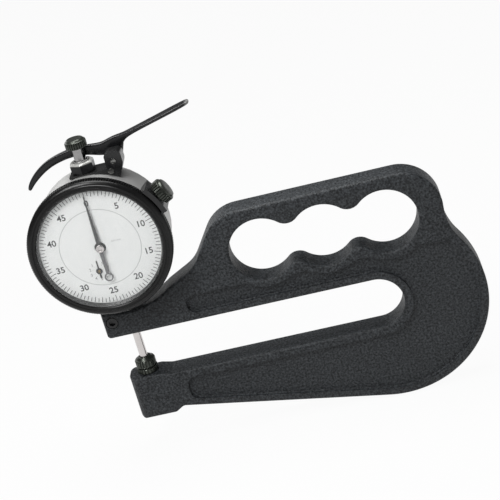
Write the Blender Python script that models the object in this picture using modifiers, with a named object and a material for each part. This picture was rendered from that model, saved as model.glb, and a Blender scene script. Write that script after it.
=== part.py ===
"""Deep-throat dial thickness gauge, modelled piece by piece in metres, +Z up.

X runs from the measuring points to the rear of the frame, Y from the dial to the back.
The origin is on the measuring axis, level with the flat underside of the lower jaw.
"""
import math

import bmesh
import bpy
from mathutils import Matrix, Vector

for old in list(bpy.data.objects):
    bpy.data.objects.remove(old, do_unlink=True)

# General clearances
seat_gap = 0.0003
fine_gap = 0.00015
overrun = 0.0015
weld_distance = 0.000005
union_lap = 0.0001

# Frame casting
frame_thickness = 0.0118
frame_edge_radius = 0.0009
throat_floor_z = 0.01835
throat_height = 0.02155
throat_end_x = 0.09975
arm_end_height = 0.0104
arm_end_x = -0.0108
arm_corner_radius = 0.0016
seat_arc_clearance = 0.004925
shoulder_foot_angle = -54.7
shoulder_bend_angle = -33.94
shoulder_bend_offset = 0.00447
shoulder_bend_radius = 0.015
shoulder_top_run = 0.0133
front_corner_radius = 0.016
handle_top_rise = 0.0426
rear_corner_x = 0.1168
rear_corner_radius = 0.0166
neck_radius = 0.025
back_center_x = 0.1032
back_center_drop = 0.002325
back_radius = 0.041
jaw_end_x = -0.0079
jaw_end_radius = 0.004
foot_end_x = 0.0074
foot_step_rise = 0.0022
foot_step_run = 0.0036
foot_corner_radius = 0.0025
land_height = 0.0011
land_end_x = 0.0054
land_run = 0.0046
lobe_middle_x = 0.085
lobe_rise = 0.02393
lobe_pitch = 0.02508
lobe_radius = 0.01315
lobe_blend_radius = 0.0058
recess_depth = 0.0011
recess_edge_radius = 0.0006
recess_rim = 0.0034
recess_lobe_rim = 0.003
recess_lobe_blend = 0.0104
recess_front_x = 0.0245
recess_jaw_x = 0.0155
recess_top_rise = 0.0114
recess_corner_radius = 0.0035
recess_crown_start = 38.0

# Stem clamp in the upper jaw
slit_width = 0.0009
clamp_screw_x = -0.0071
clamp_screw_drop = 0.037
clamp_screw_head_radius = 0.00235
clamp_screw_head_height = 0.0024
clamp_screw_shank_radius = 0.0014
clamp_screw_length = 0.0095
clamp_screw_socket_radius = 0.0014
clamp_screw_socket_depth = 0.0013
counterbore_clearance = 0.00025

# Indicator head: case, bezel, dial
case_radius = 0.0266
case_wall = 0.0017
case_front_y = -0.0118
case_back_y = 0.0054
spigot_step = 0.0011
spigot_length = 0.0022
case_flange_thickness = 0.0008
case_flange_width = 0.0034
case_flange_y = -0.0132
stem_radius = 0.0047625
stem_bore_radius = 0.0027
stem_socket_depth = 0.0015
stem_end_gap = 0.0012
back_cover_thickness = 0.0014
back_cover_rabbet = 0.0008
cover_screw_count = 4
cover_screw_inset = 0.0034
cover_screw_head_radius = 0.0017
cover_screw_head_height = 0.0007
cover_screw_shank_radius = 0.0008
cover_screw_length = 0.0030
bezel_wall = 0.002775
bezel_front_y = -0.0173
bezel_rear_y = -0.0121
bezel_rim_y = -0.0163
bezel_rim_step = 0.000375
bezel_face_step = 0.001975
crystal_ledge = 0.0007
bezel_ledge_y = -0.0148
serration_count = 60
serration_depth = 0.00035
serration_front_y = -0.0158
crystal_inset = 0.0012
crystal_front_y = -0.0172
crystal_thickness = 0.0008
dial_front_y = -0.0146
dial_thickness = 0.0004
dial_ring_inset = 0.0007
dial_ring_width = 0.0091
inner_dial_gap = 0.0002
inner_dial_hole_radius = 0.0023
counter_hole_radius = 0.0011
dial_foot_radius = 0.0009
dial_foot_circle_radius = 0.0125
dial_foot_angles = (30.0, 150.0, 320.0)

# Movement plates
front_plate_thickness = 0.0008
rear_plate_inset = 0.0054
rear_plate_front_y = -0.0040
rear_plate_thickness = 0.0008
pillar_radius = 0.0012
pillar_inset = 0.0025
pillar_angles = (20.0, 150.0, 300.0)
bridge_front_y = 0.0029
bridge_thickness = 0.0008
bridge_half_height = 0.0021
bridge_leg_radius = 0.0013
bridge_leg_left_x = -0.0100
bridge_leg_right_x = 0.0066

# Spindle, rack and gear train
travel = 0.0127
travel_per_hand_turn = 0.00127
spindle_radius = 0.00238
spindle_knob_depth = 0.0002
spindle_stem_reach = 0.0146
rack_pinion_teeth = 16
rack_addendum = 0.0002
rack_dedendum = 0.00027
rack_pitch_x = -0.00118
rack_tip_half_share = 0.10
rack_root_half_share = 0.25
arbor_radius = 0.0006
arbor_rear_overhang = 0.0003
train_distance = 0.01005
main_gear_teeth = 60
gear_addendum = 0.00012
gear_dedendum = 0.00022
tooth_tip_share = 0.20
tooth_root_share = 0.50
gear_front_y = -0.0085
gear_thickness = 0.0009
gear_web_radius_share = 0.80
gear_hub_radius = 0.0019
gear_spoke_width = 0.0016
gear_spokes = 4
pinion_front_y = -0.0092
pinion_length = 0.0024
rack_pinion_length = 0.0032
hairspring_turns = 4
hairspring_turn_points = 14
hairspring_inner_radius = 0.0016
hairspring_outer_radius = 0.0062
hairspring_wire_radius = 0.00014
hairspring_y = -0.0060
hairspring_stud_radius = 0.0007
spindle_pin_radius = 0.0007
spindle_pin_reach = 0.0092
spindle_pin_rise = 0.0068
guide_x = 0.0072
guide_thickness = 0.0022
guide_half_depth = 0.0029
guide_slot_half_width = 0.0009
guide_margin = 0.0017
spring_x = 0.0050
spring_wire_radius = 0.00022
spring_coil_radius = 0.0016
spring_turns = 10
spring_turn_points = 9
spring_post_radius = 0.0006
spring_post_drop = 0.0064

# Hands
main_hand_tip_gap = 0.0014
main_hand_tail = 0.0125
main_hand_thickness = 0.00025
main_hand_front_y = -0.01575
main_hand_width = 0.0010
main_hand_tip_width = 0.00022
main_hand_hub_radius = 0.0011
main_hand_tail_width = 0.0009
main_hand_ring_radius = 0.00165
main_hand_ring_width = 0.00045
hand_cap_radius = 0.00165
hand_cap_top_radius = 0.0013
hand_cap_height = 0.00045
counter_hand_length = 0.0046
counter_hand_tail = 0.0031
counter_hand_width = 0.0006
counter_hand_tip_width = 0.0002
counter_hand_hub_radius = 0.0012
counter_hand_thickness = 0.0002
counter_hand_front_y = -0.0151

# Contacts and knurled knobs; ribs as shares of their pitch
rib_shares = (0.0, 0.4)
groove_share = 0.7
contact_rod_radius = 0.0017
contact_radius = 0.0043
contact_height = 0.0044
contact_crown_height = 0.0013
contact_crown_radius = 0.0034
contact_crown_top_radius = 0.0024
contact_rib_count = 16
contact_rib_depth = 0.00045
anvil_radius = 0.0045
anvil_height = 0.0022
anvil_stem_radius = 0.0016
anvil_stem_length = 0.0055
contact_gap = 0.0003

# Lift mechanism on top of the case
nut_radius = 0.0051
nut_seat_height = 0.0009
nut_height = 0.0042
nut_chamfer = 0.0009
nut_bore_radius = 0.0034
bushing_radius = 0.0031
bushing_bore_radius = 0.0026
bushing_inner_reach = 0.0014
bushing_lip = 0.0004
bracket_height = 0.0006
bracket_left_x = -0.0056
bracket_half_depth = 0.0044
post_left_x = 0.0098
post_right_x = 0.0166
post_height = 0.0069
post_foot_x = 0.0140
post_back_y = 0.0024
post_corner_radius = 0.0016
pivot_x = 0.0130
pivot_height = 0.0032
pivot_screw_radius = 0.0011
pivot_head_radius = 0.0022
pivot_head_height = 0.0009
bracket_screw_x = 0.0112
bracket_screw_drop = 0.0004
bracket_screw_radius = 0.0008
bracket_screw_head_radius = 0.0012
bracket_screw_head_height = 0.0004
bracket_screw_length = 0.0035
lever_y = 0.0039
lever_depth = 0.0022
lever_reach = 0.0455
lever_height = 0.0076
lever_boss_radius = 0.0023
lever_web_corner_radius = 0.0022
lever_web_depth = 0.0020
lever_web_right_lap = 0.0007
lever_web_left_lap = 0.0009
lever_bevel_share = 0.4
# Stations from the left tip to the right tip: place along X, height and half height
# as shares of the lever's reach, half depth as a share of the lever's depth.
lever_station_shares = (
    (-0.536, -0.244, 0.011, 0.50),
    (-0.506, -0.194, 0.018, 0.50),
    (-0.448, -0.138, 0.022, 0.50),
    (-0.368, -0.080, 0.025, 0.50),
    (-0.282, -0.038, 0.026, 0.50),
    (-0.182, -0.010, 0.027, 0.50),
    (-0.066, 0.009, 0.029, 0.50),
    (0.077, 0.002, 0.033, 0.50),
    (0.187, -0.020, 0.035, 0.50),
    (0.275, 0.002, 0.037, 0.50),
    (0.352, 0.031, 0.031, 0.50),
    (0.440, 0.059, 0.022, 0.75),
    (0.571, 0.095, 0.015, 1.10),
    (0.725, 0.134, 0.014, 1.25),
    (0.879, 0.174, 0.016, 1.25),
    (1.010, 0.209, 0.018, 1.10),
    (1.032, 0.215, 0.012, 0.70),
)
knob_radius = 0.0043
knob_base_height = 0.0108
knob_height = 0.0036
knob_crown = 0.0009
knob_crown_radius = 0.0039
knob_crown_top_radius = 0.0031
knob_rib_count = 18
knob_rib_depth = 0.00035

# Bezel clamp
clamp_angle = 28.0
clamp_span = 23.0
clamp_band = 0.002325
clamp_front_y = -0.0153
clamp_back_y = -0.0058
clamp_knob_y = -0.0103
clamp_knob_radius = 0.0049
clamp_knob_gap = 0.0004
clamp_knob_height = 0.0042
clamp_knob_crown = 0.0012
clamp_knob_crown_radius = 0.0042
clamp_knob_crown_top_radius = 0.0029
clamp_knob_rib_count = 18
clamp_knob_rib_depth = 0.0004
clamp_shaft_radius = 0.0013
clamp_shaft_setback = 0.0004

# Derived places
case_inner_radius = case_radius - case_wall
spigot_radius = case_radius - spigot_step
case_flange_inner_radius = case_inner_radius - case_flange_width
cover_screw_circle_radius = case_inner_radius - cover_screw_inset
stem_top_drop = case_radius - stem_socket_depth
bezel_wall_radius = spigot_radius + seat_gap
bezel_radius = bezel_wall_radius + bezel_wall
bezel_rim_radius = bezel_radius - bezel_rim_step
bezel_face_radius = bezel_radius - bezel_face_step
crystal_radius = bezel_wall_radius - crystal_inset
bezel_lip_radius = crystal_radius + seat_gap
bezel_sight_radius = crystal_radius - crystal_ledge
dial_ring_radius = bezel_wall_radius - dial_ring_inset
inner_dial_radius = dial_ring_radius - dial_ring_width
front_plate_radius = case_inner_radius - seat_gap
rear_plate_radius = case_inner_radius - rear_plate_inset
pillar_circle_radius = rear_plate_radius - pillar_inset
main_hand_length = bezel_sight_radius - main_hand_tip_gap
bracket_top_rise = case_radius + bracket_height
nut_bottom_rise = case_radius + nut_seat_height
bushing_bottom_rise = case_inner_radius - bushing_inner_reach
bushing_top_rise = nut_bottom_rise + nut_height + bushing_lip
post_top_rise = case_radius + post_height
pivot_rise = case_radius + pivot_height
bracket_screw_rise = case_radius - bracket_screw_drop
lever_rise = case_radius + lever_height
knob_bottom_rise = case_radius + knob_base_height
spindle_top_rise = knob_bottom_rise + spindle_knob_depth
spindle_bottom_drop = case_radius + spindle_stem_reach
clamp_outer_radius = bezel_radius + clamp_band
clamp_knob_base = clamp_outer_radius + clamp_knob_gap
clamp_shaft_inner = case_inner_radius + clamp_shaft_setback
seat_arc_radius = bezel_radius + seat_arc_clearance
dial_z = throat_floor_z + throat_height + seat_arc_radius + arm_end_height
half_frame = frame_thickness / 2
throat_radius = throat_height / 2
throat_middle_z = throat_floor_z + throat_radius
throat_ceiling_z = throat_floor_z + throat_height
handle_top_z = throat_ceiling_z + handle_top_rise
lobe_middle_z = throat_ceiling_z + lobe_rise
back_center = (back_center_x, throat_middle_z - back_center_drop)
belly_start = (foot_end_x + foot_step_run, foot_step_rise)
rack_pinion_radius = travel / math.tau
rack_pitch = travel / rack_pinion_teeth
gear_ratio = travel / travel_per_hand_turn
center_pinion_teeth = round(main_gear_teeth / gear_ratio)
center_pinion_radius = train_distance / (1 + gear_ratio)
main_gear_radius = train_distance - center_pinion_radius
rack_arbor_x = rack_pitch_x - rack_pinion_radius
rack_arbor_drop = math.sqrt(train_distance ** 2 - rack_arbor_x ** 2)
rack_arbor_z = dial_z - rack_arbor_drop
takeup_x = -rack_arbor_x
takeup_z = dial_z + rack_arbor_drop
mesh_angle = math.degrees(math.atan2(rack_arbor_drop, -rack_arbor_x))
anvil_bottom_z = throat_floor_z + land_height + seat_gap
contact_bottom_z = anvil_bottom_z + anvil_height + contact_gap
contact_top_z = contact_bottom_z + contact_height
rear_plate_back_y = rear_plate_front_y + rear_plate_thickness
front_plate_front_y = case_flange_y + case_flange_thickness + seat_gap
front_plate_back_y = front_plate_front_y + front_plate_thickness

parts = bpy.data.collections.new("dial_thickness_gauge")
cutters = bpy.data.collections.new("cutters")
bpy.context.scene.collection.children.link(parts)
bpy.context.scene.collection.children.link(cutters)


def material(name, color, roughness, metallic):
    shader = bpy.data.materials.new(name)
    shader.use_nodes = True
    surface = shader.node_tree.nodes["Principled BSDF"]
    surface.inputs["Base Color"].default_value = (*color, 1)
    surface.inputs["Roughness"].default_value = roughness
    surface.inputs["Metallic"].default_value = metallic
    shader.diffuse_color = (*color, 1)
    return shader


def arc(x, z, radius, start, end, steps):
    """Points of an arc about (x, z), angles in degrees from +X towards +Z."""
    return [
        (
            x + radius * math.cos(math.radians(start + (end - start) * i / steps)),
            z + radius * math.sin(math.radians(start + (end - start) * i / steps)),
        )
        for i in range(steps + 1)
    ]


def rounded(corners, step_angle=22.0):
    """An outline through corner points, each given as (x, z, fillet radius)."""
    outline = []
    count = len(corners)
    for i in range(count):
        here = Vector(corners[i][:2])
        before = (Vector(corners[i - 1][:2]) - here).normalized()
        after = (Vector(corners[(i + 1) % count][:2]) - here).normalized()
        radius = corners[i][2]
        if radius == 0:
            outline.append(tuple(here))
            continue
        half = before.angle(after) / 2
        center = here + (before + after).normalized() * (radius / math.sin(half))
        start = here + before * (radius / math.tan(half)) - center
        turn = math.degrees(math.pi - 2 * half)
        side = 1 if before.cross(after) < 0 else -1
        first = math.degrees(math.atan2(start.y, start.x))
        steps = max(1, round(turn / step_angle))
        outline += arc(center.x, center.y, radius, first, first + side * turn, steps)
    return outline


def circle(x, z, radius, steps):
    return arc(x, z, radius, 0, 360, steps)[:-1]


def blend_center(first, first_radius, second, second_radius, blend, side):
    """Centre of the arc that joins two circles from outside, on the given side."""
    reach_first = first_radius + blend
    reach_second = second_radius + blend
    along = Vector(second) - Vector(first)
    distance = along.length
    part = (reach_first ** 2 - reach_second ** 2 + distance ** 2) / (2 * distance)
    height = math.sqrt(reach_first ** 2 - part ** 2)
    unit = along / distance
    return Vector(first) + unit * part + Vector((-unit.y, unit.x)) * height * side


def heading(origin, target):
    return math.degrees(math.atan2(target[1] - origin[1], target[0] - origin[0]))


def finish(piece, name, shader, collection=parts):
    piece.name = name
    piece.data.name = name
    for owner in list(piece.users_collection):
        owner.objects.unlink(piece)
    collection.objects.link(piece)
    if collection is cutters:
        piece.hide_render = True
        piece.display_type = "WIRE"
    else:
        piece.data.materials.clear()
        piece.data.materials.append(shader)
    return piece


def smooth(piece, angle=35.0):
    piece.data.shade_smooth()
    piece.data.set_sharp_from_angle(angle=math.radians(angle))


def curve_mesh(curve_object, name, shader, collection=parts):
    """The curve as a welded mesh object in the curve's place."""
    bpy.context.scene.collection.objects.link(curve_object)
    bpy.context.view_layer.update()
    graph = bpy.context.evaluated_depsgraph_get()
    mesh = bpy.data.meshes.new_from_object(curve_object.evaluated_get(graph))
    piece = bpy.data.objects.new(name, mesh)
    piece.matrix_world = curve_object.matrix_world.copy()
    bpy.data.objects.remove(curve_object, do_unlink=True)
    bpy.context.scene.collection.objects.link(piece)
    weld(piece)
    return finish(piece, name, shader, collection)


def weld(piece):
    work = bmesh.new()
    work.from_mesh(piece.data)
    bmesh.ops.remove_doubles(work, verts=work.verts, dist=weld_distance)
    bmesh.ops.recalc_face_normals(work, faces=work.faces)
    work.to_mesh(piece.data)
    work.free()


def plate(name, outlines, front, back, shader, edge=0.0, collection=parts, upright=True, rounds=0):
    """A flat piece: closed outlines (the outer one first, then holes), as thick as
    from front to back along Y, or along Z where it isn't upright."""
    data = bpy.data.curves.new(name, "CURVE")
    data.dimensions = "2D"
    data.fill_mode = "BOTH"
    data.extrude = (back - front) / 2 - edge
    data.bevel_depth = edge
    data.bevel_resolution = rounds
    data.offset = -edge
    for outline in outlines:
        line = data.splines.new("POLY")
        line.points.add(len(outline) - 1)
        line.use_cyclic_u = True
        for point, (x, z) in zip(line.points, outline):
            point.co = (x, z, 0, 1)
    flat = bpy.data.objects.new(name, data)
    if upright:
        flat.rotation_euler = (math.radians(90), 0, 0)
        flat.location = (0, (front + back) / 2, 0)
    else:
        flat.location = (0, 0, (front + back) / 2)
    return curve_mesh(flat, name, shader, collection)


def turned(name, profile, shader, steps=32, place=(0, 0, 0), turn=(0, 0, 0), collection=parts):
    """A turned piece about its local Z; the profile is (radius, height), outer side
    from top to bottom, and closes on itself where it doesn't start on the axis."""
    closed = profile[0][0] > 0
    count = len(profile)
    edges = [(i, i + 1) for i in range(count - 1)]
    if closed:
        edges.append((count - 1, 0))
    mesh = bpy.data.meshes.new(name)
    mesh.from_pydata([(radius, 0, height) for radius, height in profile], edges, [])
    piece = bpy.data.objects.new(name, mesh)
    bpy.context.scene.collection.objects.link(piece)
    screw = piece.modifiers.new("turn", "SCREW")
    screw.axis = "Z"
    screw.steps = steps
    screw.render_steps = steps
    screw.use_merge_vertices = True
    screw.merge_threshold = weld_distance
    piece.location = place
    piece.rotation_euler = [math.radians(angle) for angle in turn]
    return finish(piece, name, shader, collection)


def cylinder(name, radius, start, end, shader, steps=24, collection=parts):
    """A round bar between two points."""
    start = Vector(start)
    end = Vector(end)
    span = end - start
    bpy.ops.mesh.primitive_cylinder_add(
        radius=radius, depth=span.length, vertices=steps, location=(start + end) / 2,
        rotation=span.to_track_quat("Z", "Y").to_euler())
    piece = bpy.context.object
    if collection is parts:
        smooth(piece)
    return finish(piece, name, shader, collection)


def box(name, low, high, shader, collection=parts):
    low = Vector(low)
    high = Vector(high)
    bpy.ops.mesh.primitive_cube_add(size=1, location=(low + high) / 2)
    piece = bpy.context.object
    piece.scale = high - low
    bpy.ops.object.transform_apply(location=False, rotation=False, scale=True)
    return finish(piece, name, shader, collection)


def combine(piece, tool, operation="DIFFERENCE", solver="EXACT"):
    """Adds a Boolean modifier; a union's tool is kept with the cutters."""
    change = piece.modifiers.new(tool.name, "BOOLEAN")
    change.operation = operation
    change.solver = solver
    change.object = tool
    return piece


def set_origin(name, place):
    """Moves a piece's origin onto its joint axis and leaves its shape where it is."""
    piece = parts.objects[name]
    shift = piece.matrix_world.to_3x3().inverted() @ (Vector(place) - piece.location)
    piece.data.transform(Matrix.Translation(-shift))
    piece.location = place


def ribbed_outline(radius, depth, count, x=0.0, z=0.0):
    """A round outline with shallow V grooves between its ribs."""
    outline = []
    for i in range(count):
        for share, size in ((rib_shares[0], radius), (rib_shares[1], radius), (groove_share, radius - depth)):
            angle = math.tau * (i + share) / count
            outline.append((x + size * math.cos(angle), z + size * math.sin(angle)))
    return outline


def gear_outline(x, z, pitch_radius, teeth, addendum, dedendum, tooth_angle):
    """A gear's outline with one tooth centred at tooth_angle, in degrees."""
    outline = []
    for i in range(teeth):
        for share, size in (
            (-tooth_root_share / 2, -dedendum),
            (-tooth_tip_share / 2, addendum),
            (tooth_tip_share / 2, addendum),
            (tooth_root_share / 2, -dedendum),
        ):
            angle = math.radians(tooth_angle) + math.tau * (i + share) / teeth
            outline.append((
                x + (pitch_radius + size) * math.cos(angle),
                z + (pitch_radius + size) * math.sin(angle),
            ))
    return outline


def spoke_windows(x, z, outer, inner, width, count):
    """Outlines of the openings between a wheel's spokes."""
    windows = []
    for i in range(count):
        start = 360.0 * i / count
        out_half = math.degrees(math.asin(width / 2 / outer))
        in_half = math.degrees(math.asin(width / 2 / inner))
        span = 360.0 / count
        outside = arc(x, z, outer, start + out_half, start + span - out_half, 6)
        inside = arc(x, z, inner, start + span - in_half, start + in_half, 2)
        windows.append(outside + inside)
    return windows


def loft(name, sections, shader):
    """A solid skinned over sections that each have the same number of points."""
    work = bmesh.new()
    rings = [[work.verts.new(point) for point in section] for section in sections]
    for ring, after in zip(rings, rings[1:]):
        for i in range(len(ring)):
            j = (i + 1) % len(ring)
            work.faces.new((ring[i], ring[j], after[j], after[i]))
    work.faces.new(rings[0])
    work.faces.new(rings[-1])
    bmesh.ops.recalc_face_normals(work, faces=work.faces)
    mesh = bpy.data.meshes.new(name)
    work.to_mesh(mesh)
    work.free()
    piece = bpy.data.objects.new(name, mesh)
    bpy.context.scene.collection.objects.link(piece)
    return finish(piece, name, shader)


def wire(name, points, radius, shader):
    data = bpy.data.curves.new(name, "CURVE")
    data.dimensions = "3D"
    data.bevel_depth = radius
    data.bevel_resolution = 0
    data.use_fill_caps = True
    line = data.splines.new("POLY")
    line.points.add(len(points) - 1)
    for point, place in zip(line.points, points):
        point.co = (*place, 1)
    return curve_mesh(bpy.data.objects.new(name, data), name, shader)


frame_black = material("frame_black", (0.038, 0.041, 0.043), 0.55, 0.0)
black_steel = material("black_steel", (0.020, 0.020, 0.022), 0.42, 0.6)
bright_steel = material("bright_steel", (0.62, 0.60, 0.59), 0.22, 1.0)
case_steel = material("case_steel", (0.50, 0.49, 0.48), 0.38, 1.0)
brass = material("brass", (0.66, 0.47, 0.20), 0.30, 1.0)
bezel_black = material("bezel_black", (0.016, 0.017, 0.018), 0.35, 0.2)
dial_white = material("dial_white", (0.88, 0.90, 0.89), 0.50, 0.0)
hand_black = material("hand_black", (0.012, 0.012, 0.013), 0.45, 0.0)
clear = material("crystal_clear", (0.92, 0.95, 0.95), 0.05, 0.0)


def belly_angle():
    """Where the belly's straight line meets the back circle, in degrees."""
    reach = math.hypot(back_center[0] - belly_start[0], back_center[1] - belly_start[1])
    return heading(back_center, belly_start) + math.degrees(math.acos(back_radius / reach))


def lobe_line(radius, blend, upper, steps):
    """The three-lobed edge of the finger hole, left to right, above or below."""
    middle = lobe_middle_z
    side = 1 if upper else -1
    left = (lobe_middle_x - lobe_pitch, middle)
    center = (lobe_middle_x, middle)
    right = (lobe_middle_x + lobe_pitch, middle)
    line = []
    crest = blend_center(left, radius, center, radius, blend, side)
    to_crest = heading(left, crest)
    line += arc(*left, radius, 180 * side, to_crest, steps)[:-1]
    line += arc(*crest, blend, to_crest - 180 * side, -to_crest, steps // 2)[:-1]
    line += arc(*center, radius, 180 * side - to_crest, to_crest, steps)[:-1]
    second = crest + Vector((lobe_pitch, 0))
    line += arc(*second, blend, to_crest - 180 * side, -to_crest, steps // 2)[:-1]
    line += arc(*right, radius, 180 * side - to_crest, 0, steps)
    return line


def frame_outline():
    """The casting's outer edge, clockwise from the front end of the upper jaw."""
    back = back_center
    corner = (rear_corner_x, handle_top_z - rear_corner_radius)
    neck = blend_center(corner, rear_corner_radius, back, back_radius, neck_radius, 1)
    seat_start = math.degrees(-math.acos(arm_end_x / seat_arc_radius))
    top = handle_top_z
    bend_reach = seat_arc_radius + shoulder_bend_offset
    bend_x = bend_reach * math.cos(math.radians(shoulder_bend_angle))
    bend_z = dial_z + bend_reach * math.sin(math.radians(shoulder_bend_angle))
    seat = arc(0, dial_z, seat_arc_radius, seat_start, shoulder_foot_angle, 6)
    shoulder = rounded([
        (*seat[-1], 0),
        (bend_x, bend_z, shoulder_bend_radius),
        (bend_x + shoulder_top_run, top, front_corner_radius),
        (corner[0], top, 0),
    ], 12)[1:-1]
    rear_corner = arc(*corner, rear_corner_radius, 90, heading(corner, neck), 7)
    neck_arc = arc(*neck, neck_radius, heading(neck, corner) % 360, heading(neck, back) % 360, 3)
    back_arc = arc(*back, back_radius, heading(back, neck), belly_angle(), 14)
    throat_end = arc(throat_end_x, throat_middle_z, throat_radius, -90, 90, 12)
    jaws = rounded([
        (*belly_start, foot_corner_radius),
        (foot_end_x, 0, foot_corner_radius),
        (jaw_end_x, 0, foot_corner_radius),
        (jaw_end_x, throat_floor_z + land_height, 0),
        (land_end_x, throat_floor_z + land_height, foot_corner_radius),
        (land_end_x + land_run, throat_floor_z, foot_corner_radius),
        (throat_end[0][0], throat_floor_z, 0),
        (back_arc[-1][0], back_arc[-1][1], 0),
    ])[:-1]
    end_corner = rounded([
        (throat_end[-1][0], throat_ceiling_z, 0),
        (arm_end_x, throat_ceiling_z, arm_corner_radius),
        (*seat[0], 0),
    ])[1:-1]
    return seat + shoulder + rear_corner + neck_arc[1:] + back_arc[1:] + jaws[:-1] + throat_end + end_corner


def recess_outline():
    """The pocket that runs round the throat inside an even rim."""
    rim_radius = throat_radius + recess_rim
    top = throat_ceiling_z + recess_top_rise
    lobes = lobe_line(lobe_radius + recess_lobe_rim, recess_lobe_blend, False, 8)
    waves = [point for point in lobes if point[1] < top]
    crown = arc(*back_center, back_radius - recess_rim, recess_crown_start, belly_angle(), 12)
    start_x = recess_jaw_x
    end_z = throat_floor_z - recess_rim
    belly_slope = math.tan(math.radians(-90 - belly_angle()))
    low = crown[-1][1] + (crown[-1][0] - start_x) * belly_slope
    rim_end = arc(throat_end_x, throat_middle_z, rim_radius, -90, 90, 10)
    jaw = rounded([
        (*crown[-1], 0),
        (start_x, low, recess_corner_radius),
        (start_x, end_z, recess_corner_radius),
        (*rim_end[0], 0),
    ])[1:-1]
    shoulder = rounded([
        (*rim_end[-1], 0),
        (recess_front_x, throat_ceiling_z + recess_rim, recess_corner_radius),
        (recess_front_x, top, recess_corner_radius),
        (*waves[0], 0),
    ])[1:-1]
    return waves + crown + jaw + rim_end + shoulder


def build_frame():
    hole = lobe_line(lobe_radius, lobe_blend_radius, True, 10)
    hole_low = lobe_line(lobe_radius, lobe_blend_radius, False, 10)
    frame = plate("frame_casting", [frame_outline(), hole + hole_low[1:-1][::-1]],
                  -half_frame, half_frame, frame_black, edge=frame_edge_radius, rounds=1)
    outline = recess_outline()
    for name, face in (("front_recess", -half_frame), ("back_recess", half_frame)):
        inward = -math.copysign(recess_depth, face)
        outward = math.copysign(overrun, face)
        low, high = sorted((face + inward, face + outward))
        combine(frame, plate(name, [outline], low, high, None, edge=recess_edge_radius, collection=cutters))
    corner = jaw_end_radius
    for name, side in (("jaw_corner_front", -1), ("jaw_corner_back", 1)):
        x = jaw_end_x + corner
        y = side * (half_frame - corner)
        first = 180 if side > 0 else 270
        edge = arc(x, y, corner, first, first - 90, 5)
        outside = side * (half_frame + overrun)
        outline = edge + [(x, outside), (jaw_end_x - overrun, outside), (jaw_end_x - overrun, y)]
        if side < 0:
            outline = edge + [(jaw_end_x - overrun, y), (jaw_end_x - overrun, outside), (x, outside)]
        combine(frame, plate(name, [outline], -overrun, throat_floor_z + land_height + overrun, None,
                             collection=cutters, upright=False))
    bore = stem_radius + seat_gap
    combine(frame, cylinder("stem_bore", bore, (0, 0, throat_ceiling_z - overrun),
                            (0, 0, dial_z - stem_top_drop), None, 32, cutters))
    combine(frame, box("clamp_slit", (arm_end_x - overrun, -slit_width / 2, throat_ceiling_z - overrun),
                       (0, slit_width / 2, dial_z), None, cutters))
    z = dial_z - clamp_screw_drop
    head_room = clamp_screw_head_radius + counterbore_clearance
    head_depth = clamp_screw_head_height + counterbore_clearance
    combine(frame, cylinder("screw_counterbore", head_room, (clamp_screw_x, -half_frame - overrun, z),
                            (clamp_screw_x, -half_frame + head_depth, z), None, 24, cutters))
    shank = clamp_screw_shank_radius + counterbore_clearance
    tip = -half_frame + clamp_screw_length + counterbore_clearance
    combine(frame, cylinder("screw_hole", shank, (clamp_screw_x, -half_frame, z),
                            (clamp_screw_x, tip, z), None, 16, cutters))
    socket = anvil_stem_radius + seat_gap
    depth = anvil_stem_length + seat_gap
    combine(frame, cylinder("anvil_bore", socket, (0, 0, throat_floor_z + land_height - depth),
                            (0, 0, throat_floor_z + land_height + overrun), None, 20, cutters))


def hex_socket(name, radius, start, end):
    return cylinder(name, radius, start, end, None, 6, cutters)


def build_clamp_screw():
    z = dial_z - clamp_screw_drop
    top = half_frame
    seat = top - clamp_screw_head_height
    screw = turned("stem_clamp_screw", [
        (0, top), (clamp_screw_head_radius, top), (clamp_screw_head_radius, seat),
        (clamp_screw_shank_radius, seat), (clamp_screw_shank_radius, top - clamp_screw_length),
        (0, top - clamp_screw_length),
    ], black_steel, 20, (clamp_screw_x, 0, z), (90, 0, 0))
    combine(screw, hex_socket("stem_clamp_socket", clamp_screw_socket_radius,
                              (clamp_screw_x, -top - overrun, z),
                              (clamp_screw_x, -top + clamp_screw_socket_depth, z)))


def build_anvil():
    bottom = anvil_bottom_z
    top = bottom + anvil_height
    disc = plate("anvil", [ribbed_outline(anvil_radius, contact_rib_depth, contact_rib_count)],
                 bottom, top, black_steel, collection=parts, upright=False)
    stem = cylinder("anvil_stem", anvil_stem_radius, (0, 0, bottom - anvil_stem_length),
                    (0, 0, bottom + anvil_height / 2), None, 16, cutters)
    combine(disc, stem, "UNION")


def build_contacts():
    bottom = contact_bottom_z
    rim_top = bottom + contact_height - contact_crown_height
    disc = plate("contact_disc", [ribbed_outline(contact_radius, contact_rib_depth, contact_rib_count)],
                 bottom, rim_top, black_steel, upright=False)
    crown = turned("contact_crown", [
        (0, contact_top_z), (contact_crown_top_radius, contact_top_z), (contact_crown_radius, rim_top),
        (contact_crown_radius, rim_top - contact_crown_height), (0, rim_top - contact_crown_height),
    ], None, 32, collection=cutters)
    combine(disc, crown, "UNION")
    rod_socket = contact_rod_radius + fine_gap
    combine(disc, cylinder("contact_rod_hole", rod_socket, (0, 0, rim_top),
                           (0, 0, contact_top_z + overrun), None, 20, cutters))
    cylinder("contact_rod", contact_rod_radius, (0, 0, rim_top + fine_gap),
             (0, 0, dial_z - spindle_bottom_drop - fine_gap), bright_steel, 20)


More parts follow.
